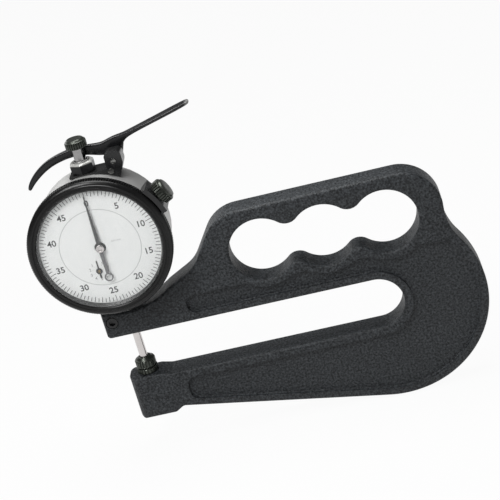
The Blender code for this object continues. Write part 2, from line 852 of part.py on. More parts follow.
def build_case():
    back = -case_back_y
    front = -case_front_y
    spigot = front + spigot_length
    flange_front = -case_flange_y
    flange_back = flange_front - case_flange_thickness
    case = turned("case", [
        (spigot_radius, spigot), (spigot_radius, front), (case_radius, front),
        (case_radius, back), (case_inner_radius, back), (case_inner_radius, flange_back),
        (case_flange_inner_radius, flange_back), (case_flange_inner_radius, flange_front),
        (case_inner_radius, flange_front), (case_inner_radius, spigot),
    ], case_steel, 48, (0, 0, dial_z), (90, 0, 0))
    deep = dial_z + case_radius + overrun
    combine(case, cylinder("case_top_bore", bushing_radius + fine_gap, (0, 0, dial_z),
                           (0, 0, deep), None, 24, cutters))
    combine(case, cylinder("case_bottom_bore", stem_radius + fine_gap, (0, 0, dial_z),
                           (0, 0, dial_z - case_radius - overrun), None, 32, cutters))
    direction = Vector((math.cos(math.radians(clamp_angle)), 0, math.sin(math.radians(clamp_angle))))
    middle = Vector((0, clamp_knob_y, dial_z))
    combine(case, cylinder("case_clamp_bore", clamp_shaft_radius + seat_gap,
                           middle + direction * case_flange_inner_radius,
                           middle + direction * clamp_outer_radius, None, 16, cutters))
    bottom = throat_ceiling_z + stem_end_gap
    stem = turned("stem", [
        (stem_radius, dial_z - stem_top_drop), (stem_radius, bottom),
        (stem_bore_radius, bottom), (stem_bore_radius, dial_z - stem_top_drop),
    ], case_steel, 32)
    smooth_screw(stem)
    smooth_screw(case)


def smooth_screw(piece):
    for modifier in piece.modifiers:
        if modifier.type == "SCREW":
            modifier.use_smooth_shade = True


def build_back_cover():
    front = case_back_y + fine_gap
    back = front + back_cover_thickness
    spigot = case_inner_radius - fine_gap
    cover = turned("back_cover", [
        (0, -front), (spigot - back_cover_thickness, -front),
        (spigot - back_cover_thickness, -front + back_cover_rabbet), (spigot, -front + back_cover_rabbet),
        (spigot, -front), (case_radius, -front), (case_radius, -back), (0, -back),
    ], case_steel, 48, (0, 0, dial_z), (90, 0, 0))
    for i in range(cover_screw_count):
        angle = math.tau * (i + 0.5) / cover_screw_count
        x = cover_screw_circle_radius * math.cos(angle)
        z = dial_z + cover_screw_circle_radius * math.sin(angle)
        combine(cover, cylinder(f"cover_hole_{i + 1}", cover_screw_shank_radius + fine_gap,
                                (x, front - cover_screw_length, z), (x, back + overrun, z),
                                None, 12, cutters))
        head = -back - fine_gap
        turned(f"cover_screw_{i + 1}", [
            (0, head + cover_screw_length), (cover_screw_shank_radius, head + cover_screw_length),
            (cover_screw_shank_radius, head), (cover_screw_head_radius, head),
            (cover_screw_head_radius, head - cover_screw_head_height), (0, head - cover_screw_head_height),
        ], bright_steel, 16, (x, 0, z), (90, 0, 0))


def build_bezel():
    front = -bezel_front_y
    rear = -bezel_rear_y
    rim = -bezel_rim_y
    ledge = -bezel_ledge_y
    bezel = turned("bezel", [
        (bezel_face_radius, front), (bezel_rim_radius, rim), (bezel_rim_radius, rear),
        (bezel_wall_radius, rear), (bezel_wall_radius, ledge), (bezel_sight_radius, ledge),
        (bezel_sight_radius, ledge + seat_gap), (bezel_lip_radius, -crystal_front_y - crystal_thickness),
        (bezel_lip_radius, front),
    ], bezel_black, serration_count, (0, 0, dial_z), (90, 0, 0))
    smooth_screw(bezel)
    ridges = circle(0, dial_z, bezel_radius, serration_count * 2)[::2]
    grooves = circle(0, dial_z, bezel_radius - serration_depth, serration_count * 2)[1::2]
    outer = [point for pair in zip(ridges, grooves) for point in pair]
    inner = circle(0, dial_z, (bezel_rim_radius + bezel_wall_radius) / 2, serration_count)
    band = plate("bezel_serrations", [outer, inner], serration_front_y, bezel_rear_y - union_lap,
                 None, collection=cutters)
    combine(bezel, band, "UNION")
    turned("crystal", [
        (0, -crystal_front_y), (crystal_radius, -crystal_front_y),
        (crystal_radius, -crystal_front_y - crystal_thickness), (0, -crystal_front_y - crystal_thickness),
    ], clear, 48, (0, 0, dial_z), (90, 0, 0))


def build_dial():
    back = dial_front_y + dial_thickness
    plate("dial_ring", [
        circle(0, dial_z, dial_ring_radius, 60),
        circle(0, dial_z, inner_dial_radius + inner_dial_gap, 48),
    ], dial_front_y, back, dial_white)
    inner = plate("inner_dial", [
        circle(0, dial_z, inner_dial_radius, 48),
        circle(0, dial_z, inner_dial_hole_radius, 16),
        circle(rack_arbor_x, rack_arbor_z, counter_hole_radius, 12),
    ], dial_front_y, back, dial_white)
    for i, angle in enumerate(dial_foot_angles):
        x = dial_foot_circle_radius * math.cos(math.radians(angle))
        z = dial_z + dial_foot_circle_radius * math.sin(math.radians(angle))
        combine(inner, cylinder(f"dial_foot_{i + 1}", dial_foot_radius,
                                (x, dial_front_y + dial_thickness / 2, z),
                                (x, front_plate_front_y - fine_gap, z), None, 12, cutters), "UNION")


def build_plates():
    x, z = rack_arbor_x, rack_arbor_z
    bearing = arbor_radius + fine_gap
    plate("movement_front_plate", [
        circle(0, dial_z, front_plate_radius, 60),
        circle(0, dial_z, bearing, 12),
        circle(x, z, bearing, 12),
        circle(takeup_x, takeup_z, bearing, 12),
    ], front_plate_front_y, front_plate_back_y, brass)
    plate("movement_rear_plate", [
        circle(0, dial_z, rear_plate_radius, 48),
        circle(0, dial_z, bearing, 12),
        circle(x, z, bearing, 12),
        circle(takeup_x, takeup_z, bearing, 12),
    ], rear_plate_front_y, rear_plate_back_y, brass)
    for i, angle in enumerate(pillar_angles):
        px = pillar_circle_radius * math.cos(math.radians(angle))
        pz = dial_z + pillar_circle_radius * math.sin(math.radians(angle))
        cylinder(f"movement_pillar_{i + 1}", pillar_radius, (px, front_plate_back_y + fine_gap, pz),
                 (px, rear_plate_front_y - fine_gap, pz), brass, 12)
    left, right = bridge_leg_left_x, bridge_leg_right_x
    half = bridge_half_height
    bar = arc(right, z, half, -90, 90, 6) + arc(left, z, half, 90, 270, 6)
    bridge = plate("rack_arbor_bridge", [bar, circle(x, z, bearing, 12)], bridge_front_y,
                   bridge_front_y + bridge_thickness, brass)
    for name, leg_x in (("bridge_leg_left", left), ("bridge_leg_right", right)):
        combine(bridge, cylinder(name, bridge_leg_radius, (leg_x, rear_plate_back_y + fine_gap, z),
                                 (leg_x, bridge_front_y + bridge_thickness / 2, z),
                                 None, 12, cutters), "UNION")


def build_spindle():
    top = dial_z + spindle_top_rise
    bottom = dial_z - spindle_bottom_drop
    spindle = cylinder("spindle", spindle_radius, (0, 0, bottom), (0, 0, top), bright_steel, 28)
    tip = rack_pitch_x - rack_addendum
    root = rack_pitch_x + rack_dedendum
    low = rack_arbor_z - travel - rack_pinion_radius
    count = math.ceil((rack_arbor_z + rack_pinion_radius - low) / rack_pitch)
    first = rack_arbor_z - rack_pitch * (math.ceil((rack_arbor_z - low) / rack_pitch))
    outline = []
    tip_half = rack_pitch / 2 - rack_pitch * rack_tip_half_share
    root_half = rack_pitch / 2 - rack_pitch * rack_root_half_share
    for i in range(count + 2):
        gap_z = first + rack_pitch * i
        outline += [
            (tip, gap_z - tip_half),
            (root, gap_z - root_half),
            (root, gap_z + root_half),
            (tip, gap_z + tip_half),
        ]
    side = -spindle_radius - overrun
    outline += [(side, outline[-1][1]), (side, outline[0][1])]
    depth = spindle_radius + overrun
    combine(spindle, plate("rack_teeth", [outline], -depth, depth, None, collection=cutters))
    pin_z = dial_z + spindle_pin_rise
    pin_hole = spindle_pin_radius + fine_gap
    combine(spindle, cylinder("spindle_pin_hole", pin_hole, (0, 0, pin_z),
                              (spindle_radius + overrun, 0, pin_z), None, 12, cutters))
    cylinder("spindle_pin", spindle_pin_radius, (fine_gap, 0, pin_z), (spindle_pin_reach, 0, pin_z),
             bright_steel, 12)
    guide_low = pin_z - guide_margin
    guide_high = pin_z + travel + guide_margin
    guide = box("pin_guide", (guide_x, rear_plate_back_y + fine_gap, guide_low),
                (guide_x + guide_thickness, guide_half_depth, guide_high), brass)
    combine(guide, box("pin_slot", (guide_x - overrun, -guide_slot_half_width, pin_z - guide_slot_half_width),
                       (guide_x + guide_thickness + overrun, guide_slot_half_width,
                        pin_z + travel + guide_slot_half_width), None, cutters))


def build_return_spring():
    pin_z = dial_z + spindle_pin_rise
    post_z = dial_z - spring_post_drop
    cylinder("spring_post", spring_post_radius, (spring_x, rear_plate_back_y + fine_gap, post_z),
             (spring_x, spring_coil_radius, post_z), brass, 12)
    low = post_z + spring_post_radius + spring_wire_radius + fine_gap
    high = pin_z - spindle_pin_radius - spring_wire_radius - fine_gap
    points = []
    steps = spring_turns * spring_turn_points
    for i in range(steps + 1):
        angle = math.tau * spring_turns * i / steps
        points.append((
            spring_x + spring_coil_radius * math.cos(angle),
            spring_coil_radius * math.sin(angle),
            low + (high - low) * i / steps,
        ))
    wire("return_spring", points, spring_wire_radius, bright_steel)


def wheel(name, x, z, tooth_angle):
    """A spoked gear on an arbor of its own: one solid."""
    gear = plate(name, [
        gear_outline(x, z, main_gear_radius, main_gear_teeth, gear_addendum, gear_dedendum, tooth_angle),
        *spoke_windows(x, z, main_gear_radius * gear_web_radius_share, gear_hub_radius,
                       gear_spoke_width, gear_spokes),
    ], gear_front_y, gear_front_y + gear_thickness, brass)
    return gear


def build_train():
    x, z = rack_arbor_x, rack_arbor_z
    rack_wheel = wheel("rack_gear", x, z, mesh_angle)
    arbor_front = counter_hand_front_y
    arbor_back = bridge_front_y + bridge_thickness + arbor_rear_overhang
    combine(rack_wheel, cylinder("rack_arbor", arbor_radius, (x, arbor_front, z), (x, arbor_back, z),
                                 None, 12, cutters), "UNION", "MANIFOLD")
    half = rack_pinion_length / 2
    combine(rack_wheel, plate("rack_pinion", [
        gear_outline(x, z, rack_pinion_radius, rack_pinion_teeth, rack_addendum, rack_dedendum, 0)
    ], -half, half, None, collection=cutters), "UNION", "MANIFOLD")
    takeup = wheel("takeup_gear", takeup_x, takeup_z, mesh_angle + 180)
    takeup_back = rear_plate_back_y + fine_gap
    combine(takeup, cylinder("takeup_arbor", arbor_radius, (takeup_x, front_plate_front_y, takeup_z),
                             (takeup_x, takeup_back, takeup_z), None, 12, cutters), "UNION", "MANIFOLD")
    half_tooth = 180.0 / center_pinion_teeth
    pinion = plate("center_pinion", [
        gear_outline(0, dial_z, center_pinion_radius, center_pinion_teeth, gear_addendum, gear_dedendum,
                     mesh_angle + 180 + half_tooth)
    ], pinion_front_y, pinion_front_y + pinion_length, bright_steel)
    combine(pinion, cylinder("center_arbor", arbor_radius, (0, main_hand_front_y, dial_z),
                             (0, rear_plate_back_y + fine_gap, dial_z), None, 12, cutters), "UNION")
    points = []
    steps = hairspring_turns * hairspring_turn_points
    for i in range(steps + 1):
        share = i / steps
        angle = math.tau * hairspring_turns * share
        radius = hairspring_inner_radius + (hairspring_outer_radius - hairspring_inner_radius) * share
        points.append((takeup_x + radius * math.cos(angle), hairspring_y,
                       takeup_z + radius * math.sin(angle)))
    wire("hairspring", points, hairspring_wire_radius, brass)
    stud_x = takeup_x + hairspring_outer_radius + hairspring_wire_radius + hairspring_stud_radius + fine_gap
    cylinder("hairspring_stud", hairspring_stud_radius,
             (stud_x, hairspring_y - hairspring_stud_radius, takeup_z),
             (stud_x, rear_plate_front_y - fine_gap, takeup_z), brass, 12)


def pointer(x, z, hub, length, width, tip_width, tail, tail_width):
    """A hand's outline: hub at (x, z), point upwards, tail downwards."""
    rise = math.degrees(math.asin(width / 2 / hub))
    drop = math.degrees(math.asin(tail_width / 2 / hub))
    outline = [(x - tip_width / 2, z + length), (x + tip_width / 2, z + length)]
    outline += arc(x, z, hub, 90 - rise, -90 + drop, 6)
    outline += [(x + tail_width / 2, z - tail), (x - tail_width / 2, z - tail)]
    outline += arc(x, z, hub, 270 - drop, 90 + rise, 6)
    return outline


def build_hands():
    front = main_hand_front_y
    back = front + main_hand_thickness
    bore = arbor_radius + fine_gap
    hand = plate("main_hand", [
        pointer(0, dial_z, main_hand_hub_radius, main_hand_length, main_hand_width, main_hand_tip_width,
                main_hand_tail - main_hand_ring_radius + main_hand_ring_width / 2, main_hand_tail_width),
        circle(0, dial_z, bore, 12),
    ], front, back, hand_black)
    ring_z = dial_z - main_hand_tail
    ring = plate("tail_ring", [
        circle(0, ring_z, main_hand_ring_radius, 20),
        circle(0, ring_z, main_hand_ring_radius - main_hand_ring_width, 16),
    ], front, back, None, collection=cutters)
    combine(hand, ring, "UNION")
    cap_base = -front + fine_gap
    turned("hand_cap", [
        (0, cap_base + hand_cap_height), (hand_cap_top_radius, cap_base + hand_cap_height),
        (hand_cap_radius, cap_base + hand_cap_height / 2), (hand_cap_radius, cap_base), (0, cap_base),
    ], bright_steel, 24, (0, 0, dial_z), (90, 0, 0))
    x, z = rack_arbor_x, rack_arbor_z
    plate("counter_hand", [
        pointer(x, z, counter_hand_hub_radius, counter_hand_length, counter_hand_width,
                counter_hand_tip_width, counter_hand_tail, counter_hand_width),
        circle(x, z, bore, 12),
    ], counter_hand_front_y + fine_gap, counter_hand_front_y + fine_gap + counter_hand_thickness, hand_black)


def build_lift():
    bottom = dial_z + nut_bottom_rise
    top = bottom + nut_height
    bpy.ops.mesh.primitive_cylinder_add(radius=nut_radius, depth=nut_height, vertices=6,
                                        location=(0, 0, (bottom + top) / 2))
    nut = finish(bpy.context.object, "bushing_nut", black_steel)
    flat_radius = nut_radius * math.cos(math.radians(30))
    cone = turned("nut_chamfer", [
        (0, top), (flat_radius - nut_chamfer / 3, top), (nut_radius + nut_chamfer / 2, top - nut_chamfer),
        (nut_radius + nut_chamfer / 2, bottom - overrun), (0, bottom - overrun),
    ], None, 30, collection=cutters)
    combine(nut, cone, "INTERSECT")
    combine(nut, cylinder("nut_bore", nut_bore_radius, (0, 0, bottom - overrun), (0, 0, top + overrun),
                          None, 24, cutters))
    turned("top_bushing", [
        (bushing_radius, dial_z + bushing_top_rise), (bushing_radius, dial_z + bushing_bottom_rise),
        (bushing_bore_radius, dial_z + bushing_bottom_rise), (bushing_bore_radius, dial_z + bushing_top_rise),
    ], case_steel, 28)
    knob_z = dial_z + knob_bottom_rise
    rim_top = knob_z + knob_height - knob_crown
    knob = plate("lift_knob", [ribbed_outline(knob_radius, knob_rib_depth, knob_rib_count)],
                 knob_z, rim_top, black_steel, upright=False)
    combine(knob, turned("knob_crown", [
        (0, rim_top + knob_crown), (knob_crown_top_radius, rim_top + knob_crown),
        (knob_crown_radius, rim_top), (knob_crown_radius, rim_top - knob_crown), (0, rim_top - knob_crown),
    ], None, 36, collection=cutters), "UNION")
    combine(knob, cylinder("knob_socket", spindle_radius + fine_gap, (0, 0, knob_z - overrun),
                           (0, 0, dial_z + spindle_top_rise + fine_gap), None, 28, cutters))


def build_bracket():
    seat = case_radius + seat_gap
    left_angle = math.degrees(math.acos(bracket_left_x / seat))
    right_angle = math.degrees(math.acos(post_foot_x / seat))
    under = arc(0, dial_z, seat, left_angle, right_angle, 10)
    top = dial_z + bracket_top_rise
    outline = under + [
        (post_foot_x, top),
        (bracket_left_x, top),
    ]
    bracket = plate("lever_bracket", [outline], -bracket_half_depth, bracket_half_depth, black_steel)
    post = rounded([
        (post_left_x, dial_z + math.sqrt(seat ** 2 - post_left_x ** 2), 0),
        (post_left_x, dial_z + post_top_rise, post_corner_radius),
        (post_right_x, dial_z + post_top_rise, post_corner_radius),
        (post_right_x, dial_z + pivot_rise - post_corner_radius, lever_boss_radius),
        (post_foot_x, dial_z + math.sqrt(seat ** 2 - post_foot_x ** 2), 0),
    ])
    combine(bracket, plate("bracket_post", [post], -bracket_half_depth - union_lap, post_back_y, None,
                           collection=cutters), "UNION")
    combine(bracket, cylinder("bracket_bore", bushing_radius + fine_gap, (0, 0, dial_z),
                              (0, 0, dial_z + post_top_rise), None, 24, cutters))
    pivot = (pivot_x, dial_z + pivot_rise)
    combine(bracket, cylinder("pivot_bore", pivot_screw_radius + fine_gap,
                              (pivot[0], -bracket_half_depth - overrun, pivot[1]),
                              (pivot[0], post_back_y + overrun, pivot[1]), None, 16, cutters))
    screw_z = dial_z + bracket_screw_rise
    front = bracket_half_depth
    combine(bracket, cylinder("bracket_screw_hole", bracket_screw_radius + fine_gap,
                              (bracket_screw_x, -front - overrun, screw_z),
                              (bracket_screw_x, -front + bracket_screw_length + fine_gap, screw_z),
                              None, 12, cutters))
    head = front + union_lap + fine_gap
    turned("bracket_screw", [
        (0, head + bracket_screw_head_height), (bracket_screw_head_radius, head + bracket_screw_head_height),
        (bracket_screw_head_radius, head), (bracket_screw_radius, head),
        (bracket_screw_radius, head - bracket_screw_length), (0, head - bracket_screw_length),
    ], bright_steel, 16, (bracket_screw_x, 0, screw_z), (90, 0, 0))
    back = lever_y + lever_depth / 2 + fine_gap
    turned("pivot_screw", [
        (0, bracket_half_depth + seat_gap), (pivot_screw_radius, bracket_half_depth + seat_gap),
        (pivot_screw_radius, -back), (pivot_head_radius, -back),
        (pivot_head_radius, -back - pivot_head_height), (0, -back - pivot_head_height),
    ], bright_steel, 16, (pivot[0], 0, pivot[1]), (90, 0, 0))


def build_lever():
    pivot = Vector((pivot_x, 0, dial_z + pivot_rise))
    base = dial_z + lever_rise
    places = [
        (share_x * lever_reach, base + share_z * lever_reach, half * lever_reach, deep * lever_depth)
        for share_x, share_z, half, deep in lever_station_shares
    ]
    sections = []
    for i, (x, z, half, deep) in enumerate(places):
        before = places[max(i - 1, 0)]
        after = places[min(i + 1, len(places) - 1)]
        along = Vector((after[0] - before[0], after[1] - before[1])).normalized()
        across = Vector((-along.y, along.x))
        bevel = min(half, deep) * lever_bevel_share
        ring = []
        for side, depth in ((1, -1), (1, 1), (-1, 1), (-1, -1)):
            corners = ((side * half, depth * (deep - bevel)), (side * (half - bevel), depth * deep))
            for offset, out in corners if side == depth else corners[::-1]:
                ring.append((x + across.x * offset, lever_y + out, z + across.y * offset))
        sections.append(ring)
    lever = loft("lever", sections, black_steel)
    web = rounded([
        (pivot.x - lever_boss_radius, pivot.z - lever_boss_radius, lever_web_corner_radius),
        (pivot.x + lever_boss_radius, pivot.z - lever_boss_radius, lever_web_corner_radius),
        (pivot.x + lever_boss_radius, base + lever_web_right_lap, 0),
        (pivot.x - lever_boss_radius, base - lever_web_left_lap, 0),
    ])
    combine(lever, plate("lever_web", [web], lever_y - lever_web_depth / 2, lever_y + lever_web_depth / 2,
                         None, collection=cutters), "UNION")
    combine(lever, cylinder("lever_bore", pivot_screw_radius + fine_gap,
                            (pivot.x, lever_y - lever_depth, pivot.z),
                            (pivot.x, lever_y + lever_depth, pivot.z), None, 16, cutters))


def build_bezel_clamp():
    half = clamp_span / 2
    inner = case_radius + seat_gap
    outline = arc(0, dial_z, clamp_outer_radius, clamp_angle - half, clamp_angle + half, 6)
    outline += arc(0, dial_z, inner, clamp_angle + half, clamp_angle - half, 6)
    clamp = plate("bezel_clamp", [outline], clamp_front_y, clamp_back_y, black_steel)
    combine(clamp, cylinder("clamp_bezel_room", bezel_radius + seat_gap, (0, clamp_front_y - overrun, dial_z),
                            (0, bezel_rear_y + seat_gap, dial_z), None, 96, cutters))
    direction = Vector((math.cos(math.radians(clamp_angle)), 0, math.sin(math.radians(clamp_angle))))
    middle = Vector((0, clamp_knob_y, dial_z))
    combine(clamp, cylinder("clamp_bore", clamp_shaft_radius + fine_gap, middle + direction * spigot_radius,
                            middle + direction * (clamp_outer_radius + overrun), None, 16, cutters))
    base = clamp_knob_base
    rim = base + clamp_knob_height - clamp_knob_crown
    grip = ribbed_outline(clamp_knob_radius, clamp_knob_rib_depth, clamp_knob_rib_count)
    knob = plate("bezel_clamp_knob", [grip], base, rim, black_steel, upright=False)
    shaft = turned("clamp_knob_body", [
        (0, rim + clamp_knob_crown), (clamp_knob_crown_top_radius, rim + clamp_knob_crown),
        (clamp_knob_crown_radius, rim), (clamp_knob_crown_radius, rim - clamp_knob_crown),
        (clamp_shaft_radius, rim - clamp_knob_crown),
        (clamp_shaft_radius, clamp_shaft_inner), (0, clamp_shaft_inner),
    ], None, 24, collection=cutters)
    combine(knob, shaft, "UNION")
    swing = Matrix.Translation(middle) @ direction.to_track_quat("Z", "Y").to_matrix().to_4x4()
    for piece in (knob, shaft):
        piece.matrix_world = swing @ Matrix.Translation(piece.location)


build_frame()
build_clamp_screw()
build_anvil()
build_contacts()
build_case()
build_back_cover()
build_bezel()
build_dial()
build_plates()
build_spindle()
build_return_spring()
build_train()
build_hands()
build_lift()
build_bracket()
build_lever()
build_bezel_clamp()
for moving in ("main_hand", "center_pinion", "dial_ring"):
    set_origin(moving, (0, 0, dial_z))
for moving in ("rack_gear", "counter_hand"):
    set_origin(moving, (rack_arbor_x, 0, rack_arbor_z))
set_origin("takeup_gear", (takeup_x, 0, takeup_z))
set_origin("lever", (pivot_x, lever_y, dial_z + pivot_rise))
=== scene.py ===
import math

import bmesh
import bpy
from mathutils import Matrix, Vector


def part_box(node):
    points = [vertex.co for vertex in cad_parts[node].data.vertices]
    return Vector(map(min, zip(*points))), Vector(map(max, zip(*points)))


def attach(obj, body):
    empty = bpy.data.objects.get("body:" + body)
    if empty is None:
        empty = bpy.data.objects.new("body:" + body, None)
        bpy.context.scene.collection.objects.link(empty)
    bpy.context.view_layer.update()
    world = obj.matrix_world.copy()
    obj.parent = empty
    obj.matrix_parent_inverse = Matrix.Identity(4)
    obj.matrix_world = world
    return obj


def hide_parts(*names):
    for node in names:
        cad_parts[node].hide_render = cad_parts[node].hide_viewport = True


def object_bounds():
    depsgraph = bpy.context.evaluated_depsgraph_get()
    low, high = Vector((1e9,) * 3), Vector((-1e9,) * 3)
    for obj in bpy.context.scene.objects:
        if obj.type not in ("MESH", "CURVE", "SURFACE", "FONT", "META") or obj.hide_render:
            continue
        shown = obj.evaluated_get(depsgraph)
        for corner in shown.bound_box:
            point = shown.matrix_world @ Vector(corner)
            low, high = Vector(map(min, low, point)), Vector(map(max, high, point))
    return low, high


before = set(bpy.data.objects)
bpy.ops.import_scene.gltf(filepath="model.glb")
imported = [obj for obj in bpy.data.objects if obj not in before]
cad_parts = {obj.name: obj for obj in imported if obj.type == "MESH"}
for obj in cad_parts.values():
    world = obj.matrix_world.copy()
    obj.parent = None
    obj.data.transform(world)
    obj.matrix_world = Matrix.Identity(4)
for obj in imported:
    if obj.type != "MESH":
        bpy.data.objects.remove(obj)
cadLow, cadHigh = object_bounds()
dialCenter = Vector((0, 0, 0.0838))   # the dial's axis, along Y
floorZ = cadLow.z
print("packed gauge loaded")


# Selecting and finishing

def clearSelection():
    if bpy.context.mode != "OBJECT":
        bpy.ops.object.mode_set(mode="OBJECT")
    bpy.ops.object.select_all(action="DESELECT")


def takeUp(piece):
    clearSelection()
    piece.select_set(True)
    bpy.context.view_layer.objects.active = piece


def editPiece(piece):
    takeUp(piece)
    bpy.ops.object.mode_set(mode="EDIT")


def settle(piece, name, finish, body, replaced=(), place=None):
    # the place goes into the mesh, then the piece rides on its body
    takeUp(piece)
    if place is not None:
        piece.matrix_world = place @ piece.matrix_world
    bpy.ops.object.transform_apply(location=True, rotation=True, scale=True)
    piece.name = name
    piece.data.name = name
    piece.data.materials.clear()
    piece.data.materials.append(finish)
    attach(piece, body)
    if replaced:
        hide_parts(*replaced)


def softenEdges(piece, width, segments=2, angle=30):
    takeUp(piece)
    bevel = piece.modifiers.new("softEdge", "BEVEL")
    bevel.width = width
    bevel.segments = segments
    bevel.limit_method = "ANGLE"
    bevel.angle_limit = math.radians(angle)
    bevel.use_clamp_overlap = True
    bpy.ops.object.modifier_apply(modifier=bevel.name)
    bpy.ops.object.shade_smooth_by_angle(angle=math.radians(35))


def turnAxis(x, y, z):
    # local Z of a turned piece goes to the front
    return Matrix.Translation((x, y, z)) @ Matrix.Rotation(math.radians(90), 4, "X")


def turnProfile(profile, steps, closed=False):
    # a lathe-turned form about local Z: rings pulled from ring to ring
    clearSelection()
    radius, height = profile[0]
    bpy.ops.mesh.primitive_circle_add(vertices=steps, radius=radius, location=(0, 0, height))
    piece = bpy.context.object
    bpy.ops.object.mode_set(mode="EDIT")
    bpy.ops.mesh.select_all(action="SELECT")
    for nextRadius, nextHeight in profile[1:] + (profile[:1] if closed else []):
        bpy.ops.mesh.extrude_edges_move(TRANSFORM_OT_translate={"value": (0, 0, nextHeight - height)})
        ratio = nextRadius / radius
        bpy.ops.transform.resize(value=(ratio, ratio, 1), center_override=(0, 0, nextHeight))
        radius, height = nextRadius, nextHeight
    bpy.ops.mesh.select_all(action="SELECT")
    if closed:
        bpy.ops.mesh.remove_doubles(threshold=0.000001)
    else:
        bpy.ops.mesh.fill_holes(sides=0)
    bpy.ops.mesh.select_all(action="SELECT")
    bpy.ops.mesh.normals_make_consistent(inside=False)
    bpy.ops.object.mode_set(mode="OBJECT")
    return piece


def squeezeRibs(piece, steps, period, picked, ratio, smallest, low=-1, high=1):
    # every few verts of the rim go in, for ribs or serrations
    editPiece(piece)
    bpy.ops.mesh.select_all(action="DESELECT")
    work = bmesh.from_edit_mesh(piece.data)
    work.select_mode = {"VERT"}
    for vert in work.verts:
        step = round(math.atan2(vert.co.y, vert.co.x) / math.tau * steps) % steps
        inBand = low <= vert.co.z + piece.location.z <= high
        vert.select = step % period in picked and vert.co.xy.length > smallest and inBand
    work.select_flush_mode()
    bmesh.update_edit_mesh(piece.data)
    bpy.ops.transform.resize(value=(ratio, ratio, 1), center_override=(0, 0, 0))
    bpy.ops.object.mode_set(mode="OBJECT")


# Shader effects used by more than one finish

def newGroup(name, inputs, outputs):
    group = bpy.data.node_groups.new(name, "ShaderNodeTree")
    for label, kind, value in inputs:
        socket = group.interface.new_socket(name=label, in_out="INPUT", socket_type=kind)
        if value is not None:
            socket.default_value = value
    for label, kind in outputs:
        group.interface.new_socket(name=label, in_out="OUTPUT", socket_type=kind)
    start = group.nodes.new("NodeGroupInput")
    end = group.nodes.new("NodeGroupOutput")
    return group, start, end


def addNode(tree, kind, **settings):
    node = tree.nodes.new(kind)
    for key, value in settings.items():
        setattr(node, key, value)
    return node


def buildGrain():
    # fine cast or sprayed texture: a colour mix mask and a height
    group, start, end = newGroup(
        "fineGrain",
        [("Scale", "NodeSocketFloat", 1500.0), ("Spread", "NodeSocketFloat", 120.0)],
        [("Mask", "NodeSocketFloat"), ("Height", "NodeSocketFloat"), ("Cloud", "NodeSocketFloat")])
    place = addNode(group, "ShaderNodeTexCoord")
    fine = addNode(group, "ShaderNodeTexNoise")
    fine.inputs["Detail"].default_value = 3.0
    fine.inputs["Roughness"].default_value = 0.65
    pits = addNode(group, "ShaderNodeTexVoronoi")
    cloud = addNode(group, "ShaderNodeTexNoise")
    cloud.inputs["Detail"].default_value = 2.0
    ramp = addNode(group, "ShaderNodeMapRange")
    ramp.inputs["From Min"].default_value = 0.38
    ramp.inputs["From Max"].default_value = 0.68
    blendIn = addNode(group, "ShaderNodeMath", operation="MULTIPLY_ADD")
    blendIn.inputs[1].default_value = 0.35
    link = group.links.new
    for node in (fine, pits, cloud):
        link(place.outputs["Object"], node.inputs["Vector"])
    link(start.outputs["Scale"], fine.inputs["Scale"])
    link(start.outputs["Scale"], pits.inputs["Scale"])
    link(start.outputs["Spread"], cloud.inputs["Scale"])
    link(fine.outputs["Fac"], ramp.inputs["Value"])
    link(ramp.outputs["Result"], end.inputs["Mask"])
    link(pits.outputs["Distance"], blendIn.inputs[0])
    link(fine.outputs["Fac"], blendIn.inputs[2])
    link(blendIn.outputs["Value"], end.inputs["Height"])
    link(cloud.outputs["Fac"], end.inputs["Cloud"])
    return group


def buildToolMarks():
    # lathe or brush lines, drawn long in one direction by the stretch
    group, start, end = newGroup(
        "toolMarks",
        [("Stretch", "NodeSocketVector", (1.0, 1.0, 1.0)), ("Scale", "NodeSocketFloat", 900.0)],
        [("Lines", "NodeSocketFloat"), ("Smudge", "NodeSocketFloat")])
    place = addNode(group, "ShaderNodeTexCoord")
    stretch = addNode(group, "ShaderNodeVectorMath", operation="MULTIPLY")
    lines = addNode(group, "ShaderNodeTexNoise")
    lines.inputs["Detail"].default_value = 4.0
    smudge = addNode(group, "ShaderNodeTexNoise")
    smudge.inputs["Scale"].default_value = 160.0
    smudge.inputs["Detail"].default_value = 3.0
    link = group.links.new
    link(place.outputs["Object"], stretch.inputs[0])
    link(start.outputs["Stretch"], stretch.inputs[1])
    link(stretch.outputs["Vector"], lines.inputs["Vector"])
    link(start.outputs["Scale"], lines.inputs["Scale"])
    link(place.outputs["Object"], smudge.inputs["Vector"])
    link(lines.outputs["Fac"], end.inputs["Lines"])
    link(smudge.outputs["Fac"], end.inputs["Smudge"])
    return group


grainGroup = buildGrain()
marksGroup = buildToolMarks()


def newFinish(name, metallic=0.0, alpha=1.0, specular=0.5):
    finish = bpy.data.materials.new(name)
    finish.use_nodes = True
    surface = finish.node_tree.nodes["Principled BSDF"]
    surface.inputs["Metallic"].default_value = metallic
    surface.inputs["Alpha"].default_value = alpha
    surface.inputs["Specular IOR Level"].default_value = specular
    return finish, finish.node_tree, surface


def mixColors(tree, mask, dark, light, target):
    mix = addNode(tree, "ShaderNodeMix", data_type="RGBA")
    mix.inputs["A"].default_value = (*dark, 1)
    mix.inputs["B"].default_value = (*light, 1)
    tree.links.new(mask, mix.inputs["Factor"])
    tree.links.new(mix.outputs["Result"], target)


def spreadRoughness(tree, mask, low, high, surface):
    spread = addNode(tree, "ShaderNodeMapRange")
    spread.inputs["To Min"].default_value = low
    spread.inputs["To Max"].default_value = high
    tree.links.new(mask, spread.inputs["Value"])
    tree.links.new(spread.outputs["Result"], surface.inputs["Roughness"])


